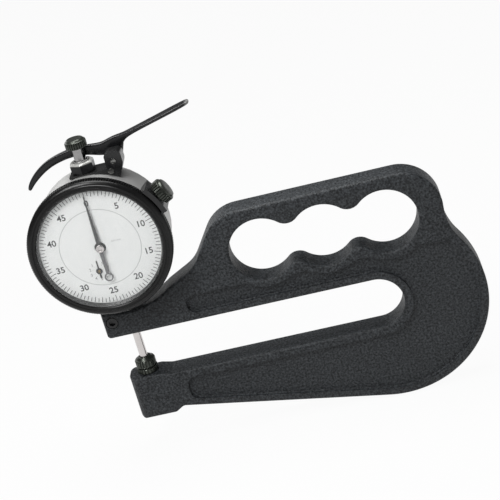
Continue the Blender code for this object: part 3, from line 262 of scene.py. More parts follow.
def addBump(tree, height, distance, strength, surface):
    bump = addNode(tree, "ShaderNodeBump")
    bump.inputs["Distance"].default_value = distance
    bump.inputs["Strength"].default_value = strength
    tree.links.new(height, bump.inputs["Height"])
    tree.links.new(bump.outputs["Normal"], surface.inputs["Normal"])


def addMarks(tree, values):
    marks = addNode(tree, "ShaderNodeGroup", node_tree=marksGroup)
    marks.inputs["Scale"].default_value = values["scale"]
    return marks


def wornShare(tree, axis, values):
    # goes from 0 to 1 along one axis of the part, for the lever's painted highlight and the nut's wear
    place = addNode(tree, "ShaderNodeTexCoord")
    split = addNode(tree, "ShaderNodeSeparateXYZ")
    share = addNode(tree, "ShaderNodeMapRange")
    share.inputs["From Min"].default_value = values["wearAndHighlightFrom"]
    share.inputs["From Max"].default_value = values["wearAndHighlightTo"]
    tree.links.new(place.outputs["Object"], split.inputs["Vector"])
    tree.links.new(split.outputs[axis], share.inputs["Value"])
    return share.outputs["Result"]


def grainFinish(name, values):
    finish, tree, surface = newFinish(name, specular=values.get("specular", 0.5))
    grain = addNode(tree, "ShaderNodeGroup", node_tree=grainGroup)
    grain.inputs["Scale"].default_value = values["scale"]
    grain.inputs["Spread"].default_value = values["spread"]
    mixColors(tree, grain.outputs["Mask"], values["dark"], values["light"], surface.inputs["Base Color"])
    spreadRoughness(tree, grain.outputs["Cloud"], values["smoothest"], values["roughest"], surface)
    addBump(tree, grain.outputs["Height"], values["bump"], values["strength"], surface)
    return finish


def metalFinish(name, values):
    finish, tree, surface = newFinish(name, values.get("metallic", 1), specular=values.get("specular", 0.5))
    marks = addMarks(tree, values)
    marks.inputs["Stretch"].default_value = values["stretch"]
    mixColors(tree, marks.outputs["Smudge"], values["dark"], values["light"], surface.inputs["Base Color"])
    spreadRoughness(tree, marks.outputs["Lines"], values["smoothest"], values["roughest"], surface)
    addBump(tree, marks.outputs["Lines"], values["bump"], values["strength"], surface)
    return finish


castPaint = grainFinish("castPaint", {
    "dark": (0.005, 0.006, 0.007), "light": (0.062, 0.068, 0.074), "scale": 1150.0, "spread": 60.0,
    "specular": 0.30, "smoothest": 0.40, "roughest": 0.58, "bump": 0.00035, "strength": 1.0})
blackSteel = metalFinish("blackSteel", {
    "dark": (0.003, 0.003, 0.004), "light": (0.014, 0.014, 0.014), "metallic": 0.0, "stretch": (1, 1, 6),
    "specular": 0.42, "scale": 700.0, "smoothest": 0.18, "roughest": 0.34, "bump": 0.00002, "strength": 0.3})
knurlSteel = metalFinish("knurlSteel", {
    "dark": (0.012, 0.014, 0.012), "light": (0.090, 0.098, 0.084), "metallic": 0.7, "stretch": (1, 1, 1),
    "scale": 1500.0, "smoothest": 0.22, "roughest": 0.38, "bump": 0.00002, "strength": 0.3})
brightSteel = metalFinish("brightSteel", {
    "dark": (0.52, 0.49, 0.48), "light": (0.72, 0.69, 0.68), "stretch": (0.2, 0.2, 8),
    "scale": 900.0, "smoothest": 0.14, "roughest": 0.30, "bump": 0.00001, "strength": 0.25})
spindleSteel = metalFinish("spindleSteel", {
    "dark": (0.22, 0.22, 0.22), "light": (0.42, 0.41, 0.41), "stretch": (0.2, 0.2, 8),
    "scale": 900.0, "smoothest": 0.12, "roughest": 0.26, "bump": 0.00001, "strength": 0.25})
screwSteel = metalFinish("screwSteel", {
    "dark": (0.10, 0.10, 0.10), "light": (0.30, 0.30, 0.29), "stretch": (1, 1, 1),
    "scale": 900.0, "smoothest": 0.16, "roughest": 0.32, "bump": 0.00001, "strength": 0.25})
caseSteel = metalFinish("caseSteel", {
    "dark": (0.38, 0.38, 0.375), "light": (0.50, 0.50, 0.49), "metallic": 0.55, "stretch": (0.6, 9, 0.6),
    "scale": 1100.0, "smoothest": 0.30, "roughest": 0.46, "bump": 0.000015, "strength": 0.3})
gearBrass = metalFinish("gearBrass", {
    "dark": (0.50, 0.33, 0.12), "light": (0.72, 0.52, 0.22), "stretch": (1, 6, 1),
    "scale": 900.0, "smoothest": 0.22, "roughest": 0.40, "bump": 0.00001, "strength": 0.25})
bezelBlack = metalFinish("bezelBlack", {
    "dark": (0.002, 0.002, 0.002), "light": (0.006, 0.006, 0.006), "metallic": 0.0, "specular": 0.30,
    "stretch": (1, 1, 1), "scale": 1200.0, "smoothest": 0.22, "roughest": 0.36,
    "bump": 0.00001, "strength": 0.3})
dialPaint = grainFinish("dialPaint", {
    "dark": (0.90, 0.915, 0.905), "light": (0.94, 0.95, 0.94), "scale": 500.0, "spread": 70.0,
    "smoothest": 0.42, "roughest": 0.58, "bump": 0.000004, "strength": 0.2})
printBlack = grainFinish("printBlack", {
    "dark": (0.010, 0.010, 0.011), "light": (0.030, 0.030, 0.032), "scale": 3000.0, "spread": 300.0,
    "smoothest": 0.45, "roughest": 0.6, "bump": 0.000003, "strength": 0.2})
printGrey = grainFinish("printGrey", {
    "dark": (0.30, 0.30, 0.30), "light": (0.42, 0.42, 0.42), "scale": 3000.0, "spread": 300.0,
    "smoothest": 0.5, "roughest": 0.65, "bump": 0.000003, "strength": 0.2})
# faint grey for the unit note's print and for the painted shade line at the dial's seam
faintPrintAndShade = grainFinish("faintPrintAndShade", {
    "dark": (0.52, 0.53, 0.53), "light": (0.62, 0.63, 0.62), "scale": 3000.0, "spread": 300.0,
    "smoothest": 0.5, "roughest": 0.65, "bump": 0.000003, "strength": 0.2})


def buildCrystal():
    # clear flat window: alpha keeps only a faint reflection over the dial
    values = {"alpha": 0.06, "scale": 300.0, "dark": (0.90, 0.93, 0.93), "light": (0.96, 0.97, 0.97),
              "smoothest": 0.03, "roughest": 0.07}
    finish, tree, surface = newFinish("crystalClear", alpha=values["alpha"])
    marks = addMarks(tree, values)
    mixColors(tree, marks.outputs["Smudge"], values["dark"], values["light"], surface.inputs["Base Color"])
    spreadRoughness(tree, marks.outputs["Lines"], values["smoothest"], values["roughest"], surface)
    return finish


crystalClear = buildCrystal()


def buildHandPaint():
    # the pointer is black above its hub and worn grey on its tail
    values = {"tailStart": 0.001, "blade": (0.010, 0.010, 0.011), "tail": (0.115, 0.115, 0.12),
              "scale": 900.0, "smoothest": 0.32, "roughest": 0.48}
    finish, tree, surface = newFinish("handPaint")
    place = addNode(tree, "ShaderNodeTexCoord")
    split = addNode(tree, "ShaderNodeSeparateXYZ")
    below = addNode(tree, "ShaderNodeMath", operation="LESS_THAN")
    below.inputs[1].default_value = dialCenter.z - values["tailStart"]
    tree.links.new(place.outputs["Object"], split.inputs["Vector"])
    tree.links.new(split.outputs["Z"], below.inputs[0])
    mixColors(tree, below.outputs["Value"], values["blade"], values["tail"], surface.inputs["Base Color"])
    marks = addMarks(tree, values)
    spreadRoughness(tree, marks.outputs["Lines"], values["smoothest"], values["roughest"], surface)
    return finish


handPaint = buildHandPaint()
print("finishes made")


# Carried solids: their own shape, better finish and soft edges

def carry(names, finish, width=0.00012, segments=2):
    for name in names:
        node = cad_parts[name]
        node.data.materials.clear()
        node.data.materials.append(finish)
        for polygon in node.data.polygons:
            polygon.use_smooth = True
        weld = node.modifiers.new("weld", "WELD")
        weld.merge_threshold = 0.000002
        if width:
            bevel = node.modifiers.new("softEdge", "BEVEL")
            bevel.width = width
            bevel.segments = segments
            bevel.limit_method = "ANGLE"
            bevel.angle_limit = math.radians(34)
        even = node.modifiers.new("evenShade", "WEIGHTED_NORMAL")
        even.keep_sharp = False


carry(["stem_clamp_screw", "lever_bracket", "bezel_clamp"], blackSteel)
carry(["contact_rod", "spindle_pin"], brightSteel, 0.00008)
carry(["spindle"], spindleSteel, 0.00008)
carry(["pivot_screw", "bracket_screw"], screwSteel, 0.00008)
# painted shade: the front plate is made black so the dial's centre hole reads dark round the hub
carry(["movement_front_plate"], blackSteel, 0)
carry(["return_spring", "center_pinion"], brightSteel, 0)
carry(["case", "stem", "back_cover", "top_bushing"], caseSteel)
carry(["movement_rear_plate", "movement_pillar_1", "movement_pillar_2",
       "movement_pillar_3", "rack_arbor_bridge", "pin_guide", "spring_post", "rack_gear", "takeup_gear",
       "hairspring", "hairspring_stud"], gearBrass, 0)
carry(["dial_ring", "inner_dial"], dialPaint, 0.00004)
carry(["crystal"], crystalClear, 0.0001)
print("carried solids dressed")


# Frame: cast C with a three-lobed finger hole and a pocket round the throat

casting = {
    "halfThickness": 0.0059, "edge": 0.0011, "lip": 0.0008,
    "throatFloor": 0.01835, "throatHeight": 0.02155, "throatEnd": 0.09975,
    "jawEnd": -0.0079, "armEnd": -0.0108, "armCorner": 0.0016, "footEnd": 0.0074,
    "footStep": (0.011, 0.0022), "footCorner": 0.0025,
    "landHeight": 0.0011, "landEnd": 0.0054, "landRun": 0.0046, "jawCorner": 0.004,
    "seatRadius": 0.0335, "shoulderFoot": -54.7, "shoulderBend": (0.0315, 0.0626, 0.015),
    "handleFront": (0.0448, 0.0825, 0.016), "handleRear": (0.1168, 0.0825, 0.0166),
    "neckRadius": 0.025, "backCenter": (0.1032, 0.0268), "backRadius": 0.041,
    "lobeMiddle": (0.085, 0.06383), "lobePitch": 0.02508, "lobeRadius": 0.01315, "lobeBlend": 0.0058,
    "pocketRim": 0.0034, "pocketDepth": 0.0016, "pocketCorner": 0.0035, "pocketJaw": 0.0155,
    "pocketFront": 0.0245, "pocketTop": 0.0513, "pocketLobeRim": 0.003, "pocketLobeBlend": 0.0104,
    "pocketCrownTurn": 38, "pocketEdge": 0.0006,
    "screwPlace": (-0.0071, 0.0468), "screwRoom": 0.0026, "screwDepth": 0.00265,
    "screwStart": -0.01, "screwHole": 0.00165, "screwHoleEnd": 0.00385, "cutterHalf": 0.009,
    "stemBore": 0.0050625, "stemBoreTop": 0.0587, "anvilBore": 0.0019, "anvilDepth": 0.0058,
    "slitCenter": (-0.0065, 0, 0.062), "slitSize": (0.013, 0.0009, 0.046), "overrun": 0.002}


def arcPoints(x, z, radius, start, end, each=3.0):
    steps = max(2, round(abs(end - start) / each))
    turns = [math.radians(start + (end - start) * i / steps) for i in range(steps + 1)]
    return [(x + radius * math.cos(turn), z + radius * math.sin(turn)) for turn in turns]


def roundCorners(corners):
    # corner points as (x, z, radius), each rounded to its radius
    outline = []
    for i, corner in enumerate(corners):
        here = Vector(corner[:2])
        before = (Vector(corners[i - 1][:2]) - here).normalized()
        after = (Vector(corners[(i + 1) % len(corners)][:2]) - here).normalized()
        radius = corner[2]
        if radius == 0:
            outline.append(tuple(here))
            continue
        half = before.angle(after) / 2
        center = here + (before + after).normalized() * (radius / math.sin(half))
        start = here + before * (radius / math.tan(half)) - center
        side = 1 if before.cross(after) < 0 else -1
        first = math.degrees(math.atan2(start.y, start.x))
        turn = math.degrees(math.pi - 2 * half)
        outline += arcPoints(center.x, center.y, radius, first, first + side * turn, 6.0)
    return outline


def blendCenter(first, firstRadius, second, secondRadius, blend, side):
    reachFirst = firstRadius + blend
    reachSecond = secondRadius + blend
    along = Vector(second) - Vector(first)
    part = (reachFirst ** 2 - reachSecond ** 2 + along.length_squared) / (2 * along.length)
    height = math.sqrt(reachFirst ** 2 - part ** 2)
    unit = along.normalized()
    return Vector(first) + unit * part + Vector((-unit.y, unit.x)) * height * side


def headingTo(origin, target):
    return math.degrees(math.atan2(target[1] - origin[1], target[0] - origin[0]))


def lobeLine(radius, blend, side):
    middleX, middleZ = casting["lobeMiddle"]
    pitch = casting["lobePitch"]
    crest = blendCenter((middleX - pitch, middleZ), radius, (middleX, middleZ), radius, blend, side)
    toCrest = headingTo((middleX - pitch, middleZ), crest)
    line = arcPoints(middleX - pitch, middleZ, radius, 180 * side, toCrest)[:-1]
    line += arcPoints(crest.x, crest.y, blend, toCrest - 180 * side, -toCrest)[:-1]
    line += arcPoints(middleX, middleZ, radius, 180 * side - toCrest, toCrest)[:-1]
    line += arcPoints(crest.x + pitch, crest.y, blend, toCrest - 180 * side, -toCrest)[:-1]
    line += arcPoints(middleX + pitch, middleZ, radius, 180 * side - toCrest, 0)
    return line


def bellyTurn():
    center = casting["backCenter"]
    step = casting["footStep"]
    reach = math.hypot(center[0] - step[0], center[1] - step[1])
    return headingTo(center, step) + math.degrees(math.acos(casting["backRadius"] / reach))


def castingOutline():
    shape = casting
    back = shape["backCenter"]
    rear = (shape["handleRear"][0], shape["handleRear"][1] - shape["handleRear"][2])
    rearRadius = shape["handleRear"][2]
    neck = blendCenter(rear, rearRadius, back, shape["backRadius"], shape["neckRadius"], 1)
    ceiling = shape["throatFloor"] + shape["throatHeight"]
    middle = shape["throatFloor"] + shape["throatHeight"] / 2
    land = shape["throatFloor"] + shape["landHeight"]
    seatStart = -math.degrees(math.acos(shape["armEnd"] / shape["seatRadius"]))
    seat = arcPoints(0, dialCenter.z, shape["seatRadius"], seatStart, shape["shoulderFoot"])
    shoulder = roundCorners([(*seat[-1], 0), shape["shoulderBend"], shape["handleFront"],
                             (rear[0], shape["handleRear"][1], 0)])[1:-1]
    crown = arcPoints(*rear, rearRadius, 90, headingTo(rear, neck))
    nape = arcPoints(*neck, shape["neckRadius"], headingTo(neck, rear) % 360, headingTo(neck, back) % 360)
    belly = arcPoints(*back, shape["backRadius"], headingTo(back, neck), bellyTurn(), 2.5)
    throat = arcPoints(shape["throatEnd"], middle, shape["throatHeight"] / 2, -90, 90)
    corner = shape["footCorner"]
    jaws = roundCorners([
        (*shape["footStep"], corner), (shape["footEnd"], 0, corner), (shape["jawEnd"], 0, corner),
        (shape["jawEnd"], land, 0), (shape["landEnd"], land, corner),
        (shape["landEnd"] + shape["landRun"], shape["throatFloor"], corner),
        (throat[0][0], shape["throatFloor"], 0), (*belly[-1], 0)])[:-2]
    arm = roundCorners([(throat[-1][0], ceiling, 0), (shape["armEnd"], ceiling, shape["armCorner"]),
                        (*seat[0], 0)])[1:-1]
    return seat + shoulder + crown + nape[1:] + belly[1:] + jaws + throat + arm


def pocketOutline():
    shape = casting
    rim = shape["pocketRim"]
    ceiling = shape["throatFloor"] + shape["throatHeight"]
    middle = shape["throatFloor"] + shape["throatHeight"] / 2
    top = shape["pocketTop"]
    waves = lobeLine(shape["lobeRadius"] + shape["pocketLobeRim"], shape["pocketLobeBlend"], -1)
    waves = [point for point in waves if point[1] < top]
    crown = arcPoints(*shape["backCenter"], shape["backRadius"] - rim, shape["pocketCrownTurn"],
                      bellyTurn(), 2.5)
    slope = math.tan(math.radians(-90 - bellyTurn()))
    low = crown[-1][1] + (crown[-1][0] - shape["pocketJaw"]) * slope
    inner = arcPoints(shape["throatEnd"], middle, shape["throatHeight"] / 2 + rim, -90, 90)
    jaw = roundCorners([(*crown[-1], 0), (shape["pocketJaw"], low, shape["pocketCorner"]),
                        (shape["pocketJaw"], shape["throatFloor"] - rim, shape["pocketCorner"]),
                        (*inner[0], 0)])[1:-1]
    front = roundCorners([(*inner[-1], 0), (shape["pocketFront"], ceiling + rim, shape["pocketCorner"]),
                          (shape["pocketFront"], top, shape["pocketCorner"]), (*waves[0], 0)])[1:-1]
    return waves + crown + jaw + inner + front


def flatPlate(outlines, low, high, edge, upright=True):
    # a filled flat curve made a mesh: closed outlines, the outer one first
    flat = bpy.data.curves.new("outline", "CURVE")
    flat.dimensions = "2D"
    flat.fill_mode = "BOTH"
    flat.extrude = (high - low) / 2 - edge
    flat.bevel_depth = edge
    flat.bevel_resolution = 3
    flat.offset = -edge
    for outline in outlines:
        line = flat.splines.new("POLY")
        line.points.add(len(outline) - 1)
        line.use_cyclic_u = True
        for point, (x, z) in zip(line.points, outline):
            point.co = (x, z, 0, 1)
    piece = bpy.data.objects.new("outline", flat)
    if upright:
        piece.rotation_euler = (math.radians(90), 0, 0)
        piece.location = (0, (low + high) / 2, 0)
    else:
        piece.location = (0, 0, (low + high) / 2)
    bpy.context.scene.collection.objects.link(piece)
    takeUp(piece)
    bpy.ops.object.convert(target="MESH")
    piece = bpy.context.object
    bpy.ops.object.transform_apply(location=True, rotation=True, scale=True)
    bpy.ops.object.mode_set(mode="EDIT")
    bpy.ops.mesh.select_all(action="SELECT")
    bpy.ops.mesh.remove_doubles(threshold=0.000004)
    bpy.ops.mesh.select_all(action="SELECT")
    bpy.ops.mesh.normals_make_consistent(inside=False)
    bpy.ops.object.mode_set(mode="OBJECT")
    return piece


def cutAway(piece, tool):
    takeUp(piece)
    cut = piece.modifiers.new("cut", "BOOLEAN")
    cut.operation = "DIFFERENCE"
    cut.solver = "EXACT"
    cut.object = tool
    bpy.ops.object.modifier_apply(modifier=cut.name)
    bpy.data.objects.remove(tool)


def barTool(radius, start, end, steps=32):
    clearSelection()
    span = Vector(end) - Vector(start)
    bpy.ops.mesh.primitive_cylinder_add(
        radius=radius, depth=span.length, vertices=steps, location=(Vector(start) + Vector(end)) / 2,
        rotation=span.to_track_quat("Z", "Y").to_euler())
    return bpy.context.object


def buildCasting():
    shape = casting
    half = shape["halfThickness"]
    over = shape["overrun"]
    hole = lobeLine(shape["lobeRadius"], shape["lobeBlend"], 1)
    hole += lobeLine(shape["lobeRadius"], shape["lobeBlend"], -1)[1:-1][::-1]
    piece = flatPlate([castingOutline(), hole], -half, half, shape["edge"])
    pocket = pocketOutline()
    for side in (-1, 1):
        low, high = sorted((side * (half - shape["pocketDepth"]), side * (half + over)))
        cutAway(piece, flatPlate([pocket], low, high, shape["pocketEdge"]))
    screwX, screwZ = shape["screwPlace"]
    land = shape["throatFloor"] + shape["landHeight"]
    ceiling = shape["throatFloor"] + shape["throatHeight"]
    cutAway(piece, barTool(shape["stemBore"], (0, 0, ceiling - over / 2), (0, 0, shape["stemBoreTop"]), 64))
    for radius, front, back in (
            (shape["screwRoom"], shape["screwStart"], shape["screwDepth"] - half),
            (shape["screwHole"], -half, shape["screwHoleEnd"])):
        cutAway(piece, barTool(radius, (screwX, front, screwZ), (screwX, back, screwZ)))
    cutAway(piece, barTool(shape["anvilBore"], (0, 0, land - shape["anvilDepth"]), (0, 0, land + over)))
    clearSelection()
    bpy.ops.mesh.primitive_cube_add(size=1, location=shape["slitCenter"])
    slit = bpy.context.object
    slit.scale = shape["slitSize"]
    cutAway(piece, slit)
    corner = shape["jawCorner"]
    start = shape["jawEnd"]
    for side in (-1, 1):
        outline = arcPoints(start + corner, side * (half - corner), corner, 180, 180 - side * 90, 6)
        outline += [(start + corner, side * shape["cutterHalf"]), (start - over, side * shape["cutterHalf"]),
                    (start - over, side * (half - corner))]
        cutAway(piece, flatPlate([outline], -over, land + over, 0.0, upright=False))
    softenEdges(piece, shape["lip"], 3, 40)
    settle(piece, "castFrame", castPaint, "frame_set", ["frame_casting"])


buildCasting()
print("frame cast")


# Bezel: turned ring with ridges on its face and fine serrations on its rim

bezelShape = {
    "serrations": 180, "vertsEach": 3, "grooveRatio": 0.976, "smallest": 0.02845, "shadeAngle": 28,
    "profile": [
        (0.0239, 0.0148), (0.0239, 0.0151), (0.0248, 0.0160), (0.0249, 0.0171), (0.0251, 0.0173),
        (0.0258, 0.0173), (0.02592, 0.01712), (0.02615, 0.01712), (0.02627, 0.01728), (0.02685, 0.01722),
        (0.0270, 0.01695), (0.02745, 0.0168), (0.0280, 0.01645), (0.02835, 0.0159), (0.02855, 0.0157),
        (0.028575, 0.0155), (0.028575, 0.0126), (0.0284, 0.0123), (0.0281, 0.0121), (0.0258, 0.0121),
        (0.0258, 0.0148)]}


def buildBezel():
    steps = bezelShape["serrations"] * bezelShape["vertsEach"]
    ring = turnProfile(bezelShape["profile"], steps, closed=True)
    squeezeRibs(ring, steps, bezelShape["vertsEach"], (0,), bezelShape["grooveRatio"],
                bezelShape["smallest"])
    takeUp(ring)
    bpy.ops.object.shade_smooth_by_angle(angle=math.radians(bezelShape["shadeAngle"]))
    settle(ring, "bezelRing", bezelBlack, "bezel_set", ["bezel"],
           turnAxis(0, 0, dialCenter.z))


buildBezel()
print("bezel turned")


# Dial print: ticks, figures and the turn counter's small scale, and a painted shade line at the dial's seam

dialPrintAndShade = {
    "divisions": 100, "tickOuter": 0.0237, "tickWidth": 0.00024, "tickHeight": 0.00002,
    "fiveInner": 0.0211, "unitInner": 0.0216, "halfInner": 0.0220,
    "figureRadius": 0.0189, "figureSize": 0.0036, "face": -0.01461,
    "counterPlace": (-0.0032013, 0.074273), "counterRadius": 0.0036, "counterFigure": 0.0017,
    "counterTickInner": 0.0024, "counterTickOuter": 0.0029, "counterTickWidth": 0.00009,
    "figures": 10, "figureHeight": 0.000008, "figureWeight": 0.018,
    "unitSize": 0.0011, "unitPlace": (0.0068, 0.0016),
    "seamShade": [(0.01592, 0.0), (0.01595, 0.00003), (0.01618, 0.00003), (0.01622, 0.0)]}


def buildTick(inner, outer, width):
    clearSelection()
    bpy.ops.mesh.primitive_plane_add(size=1, location=(0, 0, 0))
    tick = bpy.context.object
    bpy.ops.object.mode_set(mode="EDIT")
    bpy.ops.transform.resize(value=(width, outer - inner, 1), center_override=(0, 0, 0))
    bpy.ops.transform.translate(value=(0, (inner + outer) / 2, 0))
    bpy.ops.mesh.extrude_region_move(TRANSFORM_OT_translate={"value": (0, 0, dialPrintAndShade["tickHeight"])})
    bpy.ops.mesh.select_all(action="SELECT")
    bpy.ops.mesh.normals_make_consistent(inside=False)
    bpy.ops.object.mode_set(mode="OBJECT")
    return tick


def joinCopies(source, angles):
    # one tick copied round the dial, clockwise from the top, and joined
    copies = []
    for angle in angles:
        copy = source.copy()
        copy.data = source.data.copy()
        copy.rotation_euler = (0, 0, math.radians(-angle))
        bpy.context.scene.collection.objects.link(copy)
        copies.append(copy)
    bpy.data.objects.remove(source)
    clearSelection()
    for copy in copies:
        copy.select_set(True)
    bpy.context.view_layer.objects.active = copies[0]
    bpy.ops.object.join()
    bpy.ops.object.transform_apply(location=True, rotation=True, scale=True)
    return bpy.context.object


def buildTicks():
    marks = range(dialPrintAndShade["divisions"])
    step = 360 / dialPrintAndShade["divisions"]
    kinds = (
        ("fiveTicks", dialPrintAndShade["fiveInner"], [i for i in marks if i % 10 == 0]),
        ("unitTicks", dialPrintAndShade["unitInner"], [i for i in marks if i % 2 == 0 and i % 10]),
        ("halfTicks", dialPrintAndShade["halfInner"], [i for i in marks if i % 2]))
    for name, inner, picked in kinds:
        tick = buildTick(inner, dialPrintAndShade["tickOuter"], dialPrintAndShade["tickWidth"])
        ticks = joinCopies(tick, [i * step for i in picked])
        settle(ticks, name, printBlack, "bezel_set", (),
               turnAxis(0, dialPrintAndShade["face"], dialCenter.z))


def buildFigure(text, size, x, z, name, finish, body):
    clearSelection()
    bpy.ops.object.text_add(location=(0, 0, 0))
    figure = bpy.context.object
    figure.data.body = text
    figure.data.size = size
    figure.data.align_x = "CENTER"
    figure.data.align_y = "CENTER"
    figure.data.extrude = dialPrintAndShade["figureHeight"]
    figure.data.offset = size * dialPrintAndShade["figureWeight"]
    figure.data.resolution_u = 4
    bpy.ops.object.convert(target="MESH")
    figure = bpy.context.object
    settle(figure, name, finish, body, (), turnAxis(x, dialPrintAndShade["face"], z))


def buildFigures():
    turn = 360 / dialPrintAndShade["figures"]
    centerX, centerZ = dialPrintAndShade["counterPlace"]
    for i in range(dialPrintAndShade["figures"]):
        angle = math.radians(turn * i)
        reach = dialPrintAndShade["figureRadius"]
        buildFigure(str(5 * i), dialPrintAndShade["figureSize"], reach * math.sin(angle),
                    dialCenter.z + reach * math.cos(angle), "dialFigure" + str(5 * i), printBlack,
                    "bezel_set")
    for i in range(dialPrintAndShade["figures"]):   # the counter's figures run the other way
        angle = math.radians(-turn * i)
        reach = dialPrintAndShade["counterRadius"]
        buildFigure(str(i), dialPrintAndShade["counterFigure"], centerX + reach * math.sin(angle),
                    centerZ + reach * math.cos(angle), "counterFigure" + str(i), printGrey, "frame_set")
    tick = buildTick(dialPrintAndShade["counterTickInner"], dialPrintAndShade["counterTickOuter"],
                     dialPrintAndShade["counterTickWidth"])
    settle(joinCopies(tick, [turn * i for i in range(dialPrintAndShade["figures"])]), "counterTicks", printGrey,
           "frame_set", (), turnAxis(centerX, dialPrintAndShade["face"], centerZ))
    noteX, noteRise = dialPrintAndShade["unitPlace"]
    buildFigure("0.01 mm", dialPrintAndShade["unitSize"], noteX, dialCenter.z + noteRise, "unitNote", faintPrintAndShade,
                "frame_set")


def buildStepRing():
    # a grey ring painted as the shade at the seam between the fixed inner dial and the ring that turns with
    # the bezel
    ring = turnProfile(dialPrintAndShade["seamShade"], 96, closed=True)
    settle(ring, "dialSeamShade", faintPrintAndShade, "frame_set", (),
           turnAxis(0, dialPrintAndShade["face"], dialCenter.z))


buildTicks()
buildFigures()
buildStepRing()
print("dial printed")


# Hands: long pointer, turn counter's pointer and the hub cap

hands = {
    "edge": 0.00003, "inset": 0.00001, "overrun": 0.001,
    "cap": [(0.00165, 0.01590), (0.00165, 0.01615), (0.00150, 0.01632), (0.00125, 0.01638),
            (0.00085, 0.01638), (0.00072, 0.01630), (0.00068, 0.01612)],
    "main": {"place": (0, 0.0838), "front": -0.01575, "back": -0.0155, "tip": 0.0224, "tipHalf": 0.00020,
             "hubHalf": 0.00085, "tail": 0.0110, "tailHalf": 0.00058,
             "rings": [(0.0, 0.0012, 0.0007), (-0.0125, 0.00178, 0.00125)]},
    "counter": {"place": (-0.0032013, 0.074273), "front": -0.01495, "back": -0.01475, "tip": 0.0046,
                "tipHalf": 0.00014, "hubHalf": 0.00036, "tail": 0.0030, "tailHalf": 0.00036,
                "rings": [(0.0, 0.00128, 0.0003)]}}


def buildHand(kind, name, finish, body, replaced):
    # blade and tail as one flat form, with rings for the hub and the tail's end
    hand = hands[kind]
    x, z = hand["place"]
    outline = [
        (x - hand["tipHalf"], z + hand["tip"]), (x + hand["tipHalf"], z + hand["tip"]),
        (x + hand["hubHalf"], z), (x + hand["tailHalf"], z - hand["tail"]),
        (x - hand["tailHalf"], z - hand["tail"]), (x - hand["hubHalf"], z)]
    front, back = hand["front"], hand["back"]
    blade = flatPlate([outline], front, back, hands["edge"])
    low = hands["inset"]
    high = back - front - 2 * low
    for rise, outer, inner in hand["rings"]:
        bore = [(x, y, z + rise) for y in (front - hands["overrun"], back + hands["overrun"])]
        cutAway(blade, barTool(inner, *bore))
        rim = turnProfile([(inner, low), (outer, low), (outer, high), (inner, high)], 40, closed=True)
        rim.matrix_world = turnAxis(x, back, z + rise)
        takeUp(rim)
        bpy.ops.object.transform_apply(location=True, rotation=True, scale=True)
        blade.select_set(True)
        bpy.context.view_layer.objects.active = blade
        bpy.ops.object.join()
    settle(blade, name, finish, body, replaced)


def buildHubCap():
    cap = turnProfile(hands["cap"], 48)
    softenEdges(cap, 0.00004)
    settle(cap, "hubCap", brightSteel, "main_hand_set", ["hand_cap"],
           turnAxis(0, 0, dialCenter.z))


buildHand("main", "mainPointer", handPaint, "main_hand_set", ["main_hand"])
buildHand("counter", "counterPointer", printBlack, "counter_hand_set", ["counter_hand"])
buildHubCap()


# Knurled grips: lift knob, clamp knob, contact and anvil

grips = {
    "liftKnob": {
        "ribs": 28, "vertsEach": 6, "grooveRatio": 0.90, "band": (0.00025, 0.0025), "smallest": 0.0041,
        "profile": [(0.0030, 0.0), (0.0040, 0.0), (0.0043, 0.0003), (0.0043, 0.0012), (0.0043, 0.0023),
                    (0.0041, 0.0027), (0.0037, 0.0029), (0.0034, 0.0034), (0.0031, 0.0036),
                    (0.0014, 0.00355)]},
    "clampKnob": {
        "ribs": 28, "vertsEach": 6, "grooveRatio": 0.90, "band": (0.0315, 0.0345), "smallest": 0.0047,
        "profile": [(0.0013, 0.0253), (0.0013, 0.0313), (0.0043, 0.0313), (0.0049, 0.0317), (0.0049, 0.0329),
                    (0.0049, 0.0341), (0.0046, 0.0345), (0.0042, 0.0347), (0.0039, 0.0353), (0.0030, 0.0355),
                    (0.0012, 0.03545)]},
    "contactDisc": {
        "ribs": 22, "vertsEach": 6, "grooveRatio": 0.90, "band": (0.0225, 0.0253), "smallest": 0.0041,
        "profile": [(0.0037, 0.02225), (0.0041, 0.0223), (0.0043, 0.0226), (0.0043, 0.0239), (0.0043, 0.0251),
                    (0.0040, 0.0255), (0.0035, 0.0256), (0.0033, 0.0258), (0.0026, 0.0265),
                    (0.0020, 0.02665)]},
    "anvilDisc": {
        "ribs": 22, "vertsEach": 6, "grooveRatio": 0.91, "band": (0.0199, 0.0217), "smallest": 0.0043,
        "profile": [(0.0016, 0.01425), (0.0016, 0.01975), (0.0042, 0.01975), (0.0045, 0.0200),
                    (0.0045, 0.0208), (0.0045, 0.0216), (0.0043, 0.02185), (0.0038, 0.02195)]}}


def buildGrip(name, body, replaced, place):
    values = grips[name]
    steps = values["ribs"] * values["vertsEach"]
    grip = turnProfile(values["profile"], steps)
    low, high = values["band"]
    squeezeRibs(grip, steps, values["vertsEach"], (0, 1), values["grooveRatio"], values["smallest"],
                low, high)
    takeUp(grip)
    bpy.ops.object.shade_smooth_by_angle(angle=math.radians(30))
    settle(grip, name, knurlSteel, body, replaced, place)


gripPlaces = {"liftKnob": (0, 0, 0.1212), "clampKnob": (0, -0.0103, dialCenter.z), "clampTurn": 28}
clampTurn = math.radians(gripPlaces["clampTurn"])
outward = Vector((math.cos(clampTurn), 0, math.sin(clampTurn)))
clampPlace = Matrix.Translation(gripPlaces["clampKnob"])
clampPlace @= outward.to_track_quat("Z", "Y").to_matrix().to_4x4()
buildGrip("liftKnob", "spindle_set", ["lift_knob"], Matrix.Translation(gripPlaces["liftKnob"]))
buildGrip("clampKnob", "clamp_knob_set", ["bezel_clamp_knob"], clampPlace)
buildGrip("contactDisc", "spindle_set", ["contact_disc"], Matrix())
buildGrip("anvilDisc", "frame_set", ["anvil"], Matrix())
print("grips knurled")


# Lever: one forged strip from the hooked left end to the thumb strip

